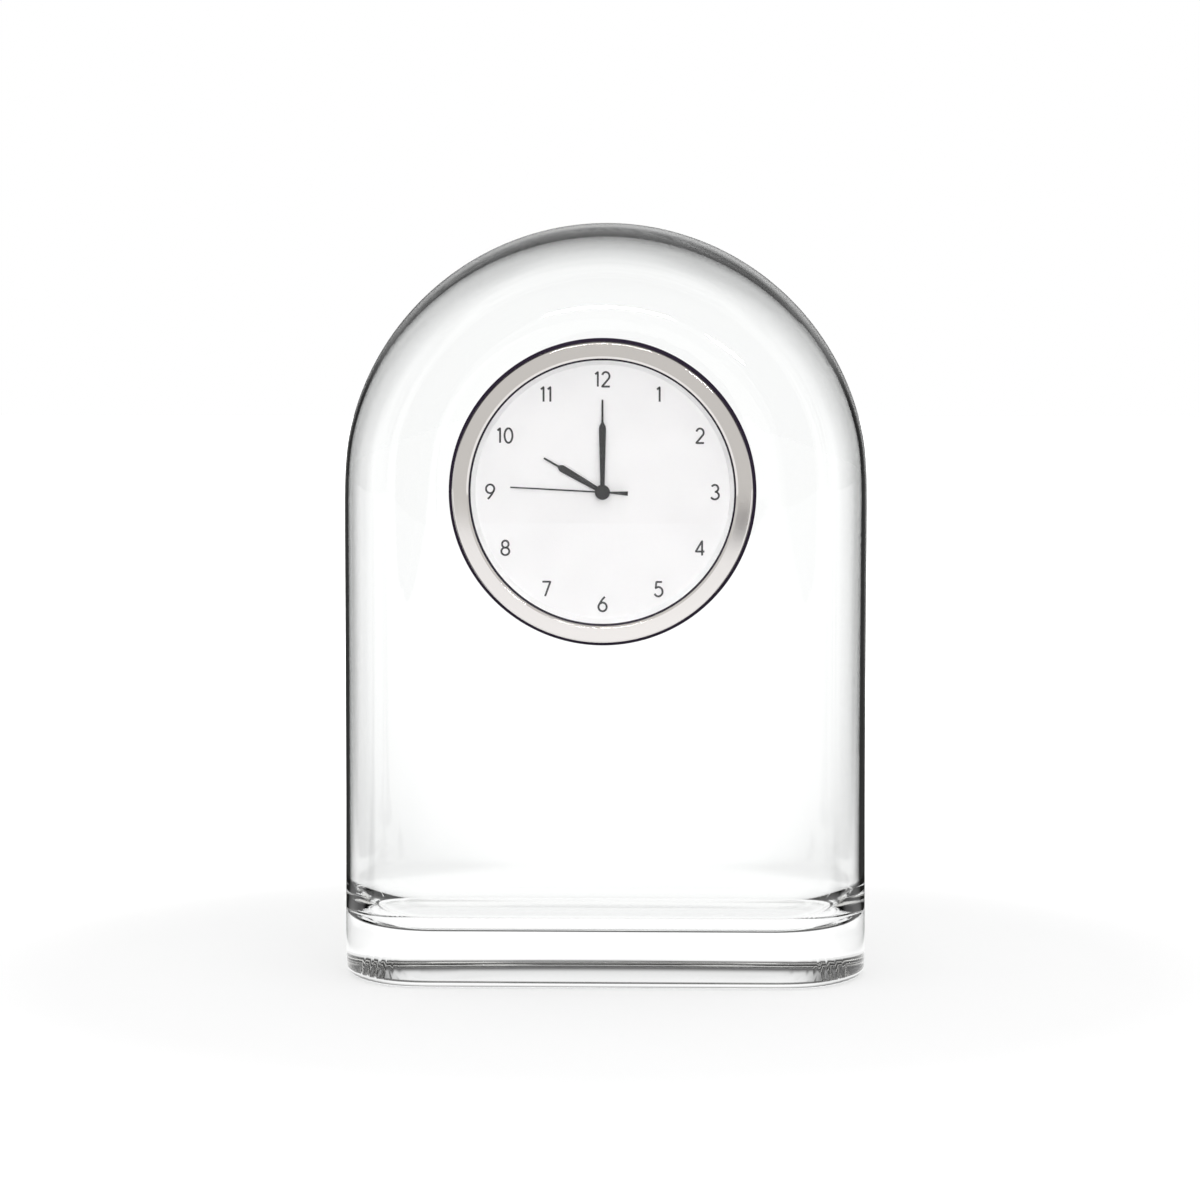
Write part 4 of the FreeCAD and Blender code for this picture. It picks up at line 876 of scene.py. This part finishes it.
def number_mesh(number):
    """The strokes of one number as a mesh of edges, in a box one high about the middle."""
    widths = [STROKES[digit][0] for digit in number]
    across = -(sum(widths) + DIGIT_GAP * (len(number) - 1)) / 2
    points, edges = [], []
    for digit, width in zip(number, widths):
        for stroke in map(held_corners, STROKES[digit][1]):
            first = len(points)
            points += [(across + x, y - 0.5, 0) for x, y in stroke]
            edges += [(at, at + 1) for at in range(first, len(points) - 1)]
        across += width + DIGIT_GAP
    mesh = bpy.data.meshes.new(f"strokes_{number}")
    mesh.from_pydata(points, edges, [])
    return mesh


class Recipe(Nodes):
    """A Geometry Nodes group with named inputs, run once on an object and made into a plain mesh."""

    def __init__(self, name):
        super().__init__(bpy.data.node_groups.new(name, "GeometryNodeTree"))
        self.tree.interface.new_socket("Geometry", in_out="INPUT", socket_type="NodeSocketGeometry")
        self.tree.interface.new_socket("Geometry", in_out="OUTPUT", socket_type="NodeSocketGeometry")
        self.values = {}

    def ask(self, name, value):
        """A named input of the group, with the value that this piece gives it."""
        entry = self.tree.interface.new_socket(name, in_out="INPUT", socket_type="NodeSocketFloat")
        self.values[entry.identifier] = value

    def inputs(self):
        """The group's inputs as wires, by name."""
        source = self.tree.nodes.new("NodeGroupInput")
        return {socket.name: Wire(self, socket) for socket in source.outputs if socket.name}

    def run(self, geometry, piece, slot):
        """End the group in plain geometry of one finish, run it on a piece and keep the mesh."""
        whole = self.node("GeometryNodeRealizeInstances", None, {0: geometry})
        finished = self.node("GeometryNodeSetMaterial", None, {"Geometry": whole, "Material": FINISHES[slot]})
        output = self.tree.nodes.new("NodeGroupOutput")
        self.tree.links.new(finished.socket, output.inputs[0])
        modifier = piece.modifiers.new("recipe", "NODES")
        modifier.node_group = self.tree
        for identifier, value in self.values.items():
            modifier[identifier] = value
        seen = piece.evaluated_get(bpy.context.evaluated_depsgraph_get())
        mesh = bpy.data.meshes.new_from_object(seen)
        piece.modifiers.remove(modifier)
        piece.data = mesh
        return mesh


def make_numbers():
    """The twelve upright numbers, each drawn as thin ribbons of ink on the dial."""
    for hour in range(1, 13):
        recipe = Recipe("ink_strokes")
        recipe.ask("Height", NUMBER_HEIGHT)
        recipe.ask("Stroke width", STROKE_WIDTH)
        recipe.ask("Ink depth", INK_DEPTH)
        given = recipe.inputs()
        size = recipe.node("ShaderNodeCombineXYZ", None, {0: given["Height"], 1: given["Height"], 2: 1.0})
        sized = recipe.node("GeometryNodeTransform", None, {"Geometry": given["Geometry"], "Scale": size})
        lines = recipe.node("GeometryNodeMeshToCurve", None, {0: sized})
        lines = recipe.node("GeometryNodeSetCurveNormal", {"mode": "Z_UP"}, {0: lines})
        nib_size = {"Width": given["Stroke width"], "Height": given["Ink depth"]}
        nib = recipe.node("GeometryNodeCurvePrimitiveQuadrilateral", None, nib_size)
        drawn = {0: lines, "Profile Curve": nib, "Fill Caps": True}
        ink = recipe.node("GeometryNodeCurveToMesh", None, drawn)
        piece = put_in_scene(f"number_{hour}", number_mesh(str(hour)))
        mesh = recipe.run(ink, piece, "ink")
        mesh.shade_flat()
        angle = math.tau * hour / 12
        across = NUMBER_CIRCLE * math.sin(angle)
        up = NUMBER_CIRCLE * math.cos(angle)
        at = DIAL_CENTRE + Vector((across, DIAL_FACE * MM - INK_DEPTH / 2, up))
        mesh.transform(Matrix.Translation(at) @ Matrix.Rotation(math.pi / 2, 4, "X"))
        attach(piece, "insert")


# Hands

def hand_outline(stations):
    """Distances along a hand with its half width at each, from its stations and at even rows between them."""
    along = [at for at, _ in stations]
    half = [width / 2 for _, width in stations]
    spots = sorted({*along, *np.linspace(along[0], along[-1], HAND_ROWS)})
    return [(spot, float(np.interp(spot, along, half))) for spot in spots]


def make_hand(name, node, body, front, direction, stations):
    """A thin stamped hand: a flat back, upright edges and a face that rises to a shallow ridge."""
    mesh = bmesh.new()
    rows = []
    for along, half in hand_outline(stations):
        edge = HAND_RIDGE * min(1, half / FULL_RIDGE_HALF_WIDTH)
        section = [(-half, HAND_THICKNESS), (-half, edge), (0, 0), (half, edge), (half, HAND_THICKNESS)]
        row = [(across * MM, (front + deep) * MM, along * MM) for across, deep in section]
        rows.append([mesh.verts.new(point) for point in row])
    for row, following in zip(rows, rows[1:]):
        for at in range(len(row)):
            after = (at + 1) % len(row)
            mesh.faces.new((row[at], following[at], following[after], row[after]))
    mesh.faces.new(rows[0])
    mesh.faces.new(rows[-1][::-1])
    add_hub(mesh, front)
    bmesh.ops.recalc_face_normals(mesh, faces=mesh.faces)
    turn = Matrix.Rotation(math.radians(direction), 4, "Y")
    bmesh.ops.transform(mesh, matrix=Matrix.Translation(DIAL_CENTRE) @ turn, verts=mesh.verts)
    piece = from_bmesh(name, mesh, "hands", body, sharp=12)
    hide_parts(node)


def add_hub(mesh, front):
    """The round hub of a hand, its face just under the ridge."""
    hub = []
    for step in range(HUB_POINTS):
        angle = math.tau * step / HUB_POINTS
        hub.append((HUB_RADIUS * math.sin(angle) * MM, HUB_RADIUS * math.cos(angle) * MM))
    low = [mesh.verts.new((x, (front + HAND_THICKNESS) * MM, z)) for x, z in hub]
    high = [mesh.verts.new((x, (front + HUB_SINK) * MM, z)) for x, z in hub]
    for at in range(HUB_POINTS):
        after = (at + 1) % HUB_POINTS
        mesh.faces.new((low[at], low[after], high[after], high[at]))
    mesh.faces.new(low)
    mesh.faces.new(high[::-1])


def leaf(length, widest):
    """Stations of a leaf hand: narrow at the hub, widest past the middle, then a thin needle."""
    return [
        (0.6, widest * 0.58),
        (length * 0.67, widest * 0.99),
        (length * 0.69, widest),
        (length * 0.715, widest * 0.86),
        (length * 0.745, widest * 0.45),
        (length * 0.76, 0.47),
        (length, 0.42),
    ]


def make_hands():
    """Leaf hands for the hours and minutes, a needle for the seconds, and the cap over all three."""
    hours = leaf(HOUR_LENGTH, HOUR_WIDTH)
    minutes = leaf(MINUTE_LENGTH, MINUTE_WIDTH)
    make_hand("hour_leaf", "hour_hand", "hour", HOUR_FACE, HOUR_DIRECTION, hours)
    make_hand("minute_leaf", "minute_hand", "minute", MINUTE_FACE, MINUTE_DIRECTION, minutes)
    make_hand("second_needle", "second_hand", "second", SECOND_FACE, SECOND_DIRECTION, SECOND_STATIONS)
    turned("hand_cap", CAP_OUTLINE, "hands", "second", sharp=50, steps=96)


# Back of the insert

def stacked(name, rings, slot, body):
    """A piece from rings of points laid one over another, with a flat cap at each end."""
    mesh = bmesh.new()
    rows = [[mesh.verts.new(point) for point in ring] for ring in rings]
    for row, following in zip(rows, rows[1:]):
        for spot in range(len(row)):
            mesh.faces.new([row[spot], row[spot - 1], following[spot - 1], following[spot]])
    mesh.faces.new(rows[0])
    mesh.faces.new(rows[-1])
    bmesh.ops.recalc_face_normals(mesh, faces=mesh.faces)
    return from_bmesh(name, mesh, slot, body, sharp=35)


def make_setting_knob():
    """Ribbed knob with a dished back, pressed on the setting stem."""
    low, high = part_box("setting_knob")
    centre = (low + high) / 2
    radius = (high.x - low.x) / 2

    def ring(reach, y, groove=0.0):
        """One ring of the knob, with grooves of a depth between its ribs."""
        points = []
        for spot in range(KNOB_POINTS):
            turn = math.tau * spot / KNOB_POINTS
            away = reach - groove * (0.5 + 0.5 * math.cos(KNOB_RIBS * turn)) ** 3
            points.append((centre.x + away * math.cos(turn), y, centre.z + away * math.sin(turn)))
        return points

    rings = [
        ring(KNOB_BORE, low.y + KNOB_BORE_DEPTH),
        ring(KNOB_BORE, low.y),
        ring(radius - KNOB_FACE_BREAK[0], low.y),
        ring(radius, low.y + KNOB_FACE_BREAK[1], RIB_DEPTH),
    ]
    rings += [ring(radius - inward, high.y - deep, RIB_DEPTH) for inward, deep in KNOB_BACK_BREAKS]
    rings += [ring(radius - inward, high.y) for inward in KNOB_FLAT_EDGES]
    rings.append(ring(radius - KNOB_DISH[0], high.y - KNOB_DISH[1]))
    piece = stacked("ribbed_knob", rings, "case", "setting")
    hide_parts("setting_knob")


# Stage

def room_light(nodes, aside, above, front):
    """How bright the room looks: white straight behind, grey high above and in front, with flags at the sides.

    The flags are dark for light that the glass throws about inside its wall, which has a glossy bounce in its
    path, and pale for light straight through it.
    """
    thrown = nodes.step_up(nodes.node("ShaderNodeLightPath", output="Glossy Depth"), 0.2, 0.8)
    level = nodes.mix(thrown, nodes.ramp(aside, STRAIGHT_LIGHT), nodes.ramp(aside, ASIDE_LIGHT))
    lifted = nodes.ramp(aside, HIGH_ASIDE_LIGHT)
    wide = level if above == 0 else nodes.mix(nodes.step_up(above, 0.1, 0.3), level, lifted)
    behind = nodes.mix(1.0, wide, nodes.ramp(above, ABOVE_LIGHT), "MULTIPLY")
    return nodes.mix(front, behind, FRONT_LIGHT)


def white_table():
    """White table: a lit surface, lifted to white for the camera. What mirrors it or sees it through glass sees
    it glow with the room's light instead, darker to the sides behind the clock: painted shade of the flags.
    """
    finish = Finish("white_table", Roughness=0.9)
    through = finish.ray_is("Glossy", "Transmission")
    cloth = finish.mix(finish.noise(40, 2), (0.5, 0.5, 0.5), (0.505, 0.505, 0.505))
    finish.set("Base Color", finish.mix(through, cloth, BLACK))
    across, depth, _ = finish.parts(finish.place())
    reach = (across * across + depth * depth) ** 0.5
    clear_of_foot = finish.step_up(reach, 0.06, 0.14)
    behind = finish.step_up(depth, -0.05, 0.05)
    aside = abs(across) / reach * clear_of_foot * behind
    # For rays that mirror the table or pass the glass, it glows with the room's light, darker to the sides
    # behind the clock: painted shade of the flags.
    finish.set("Emission Color", finish.mix(through, WHITE, room_light(finish, aside, 0, 0)))
    past_shadow = finish.step_up(reach, 0.12, 0.35)
    to_camera = finish.ray_is("Camera") * (TABLE_LIFT + past_shadow)
    finish.set("Emission Strength", to_camera + through * (1 + THROUGH_LIFT))
    return finish.material


def make_table():
    """The table reaches far back, and ends some way in front of the clock."""
    mesh = bmesh.new()
    far = TABLE_REACH
    corners = [(-far, -TABLE_FRONT), (far, -TABLE_FRONT), (far, far), (-far, far)]
    mesh.faces.new([mesh.verts.new((x, y, -TABLE_DROP)) for x, y in corners])
    data = bpy.data.meshes.new("table")
    mesh.to_mesh(data)
    mesh.free()
    table = put_in_scene("table", data)
    data.materials.append(white_table())


def make_world():
    """A white studio: white behind and below, greyer above and in front, with flags at the sides."""
    world = bpy.data.worlds.new("studio")
    bpy.context.scene.world = world
    world.use_nodes = True
    world.node_tree.nodes.clear()
    room = Nodes(world.node_tree)
    across, depth, up = room.parts(room.node("ShaderNodeTexCoord", output="Generated"))
    front = room.step_up(0 - depth, -0.05, 0.15)
    seen = room_light(room, abs(across), up, front)
    grazing = room.step_up(depth, 0.0, 0.2) * (1 - room.ray_is("Transmission"))
    seen = room.mix(grazing, seen, GRAZING_GREY)
    lit = room.mix(room.ray_is("Glossy", "Transmission"), ROOM_GREY, seen)
    colour = room.mix(room.ray_is("Camera"), lit, WHITE)
    strength = 1 + room.ray_is("Transmission") * THROUGH_LIFT
    back = room.node("ShaderNodeBackground", None, {"Color": colour, "Strength": strength})
    out = room.tree.nodes.new("ShaderNodeOutputWorld")
    room.tree.links.new(back.socket, out.inputs["Surface"])


def make_lamp(name, place, size, power):
    """A soft box that faces the dial."""
    lamp = bpy.data.lights.new(name, "AREA")
    lamp.shape = "RECTANGLE"
    lamp.size, lamp.size_y = size
    lamp.energy = power
    holder = put_in_scene(name, lamp)
    holder.location = place
    holder.rotation_euler = (DIAL_CENTRE - holder.location).to_track_quat("-Z", "Y").to_euler()
    return holder


def make_lamps():
    """Wide soft boxes overhead and in front, and two small ones that draw the bright streaks over the bezel."""
    for name, settings in WIDE_BOXES.items():
        box = make_lamp(name, *settings)
        box.visible_glossy = False
        box.visible_transmission = False
    for name, settings in STREAK_BOXES.items():
        box = make_lamp(name, *settings)
        box.visible_diffuse = False
        box.visible_transmission = False


def make_dark_block():
    """A small dark block in front of the table's edge, which the bezel mirrors at its lower right."""
    bpy.ops.mesh.primitive_cube_add(size=1)
    block = bpy.context.object
    block.name = "dark_block"
    block.data.transform(Matrix.Translation(BLOCK_PLACE) @ Matrix.Diagonal((*BLOCK_SIZE, 1)))
    block.data.materials.append(moulded("dark_felt", (0.15, 0.145, 0.15), 0.9))


def make_camera():
    """The photograph's view, from a little above and to the right."""
    camera = put_in_scene("camera", bpy.data.cameras.new("camera"))
    camera.location = CAMERA_PLACE
    camera.rotation_euler = (CAMERA_AIM - CAMERA_PLACE).to_track_quat("-Z", "Y").to_euler()
    camera.data.angle = PICTURE_ANGLE
    bpy.context.scene.camera = camera


dress_nodes()
make_glass_body()
make_bezel()
make_lens()
make_reflector_ring()
make_seal_ring()
make_dial()
make_numbers()
make_hands()
make_setting_knob()
make_table()
make_world()
make_lamps()
make_dark_block()
make_camera()
bpy.context.scene.view_settings.view_transform = "Standard"
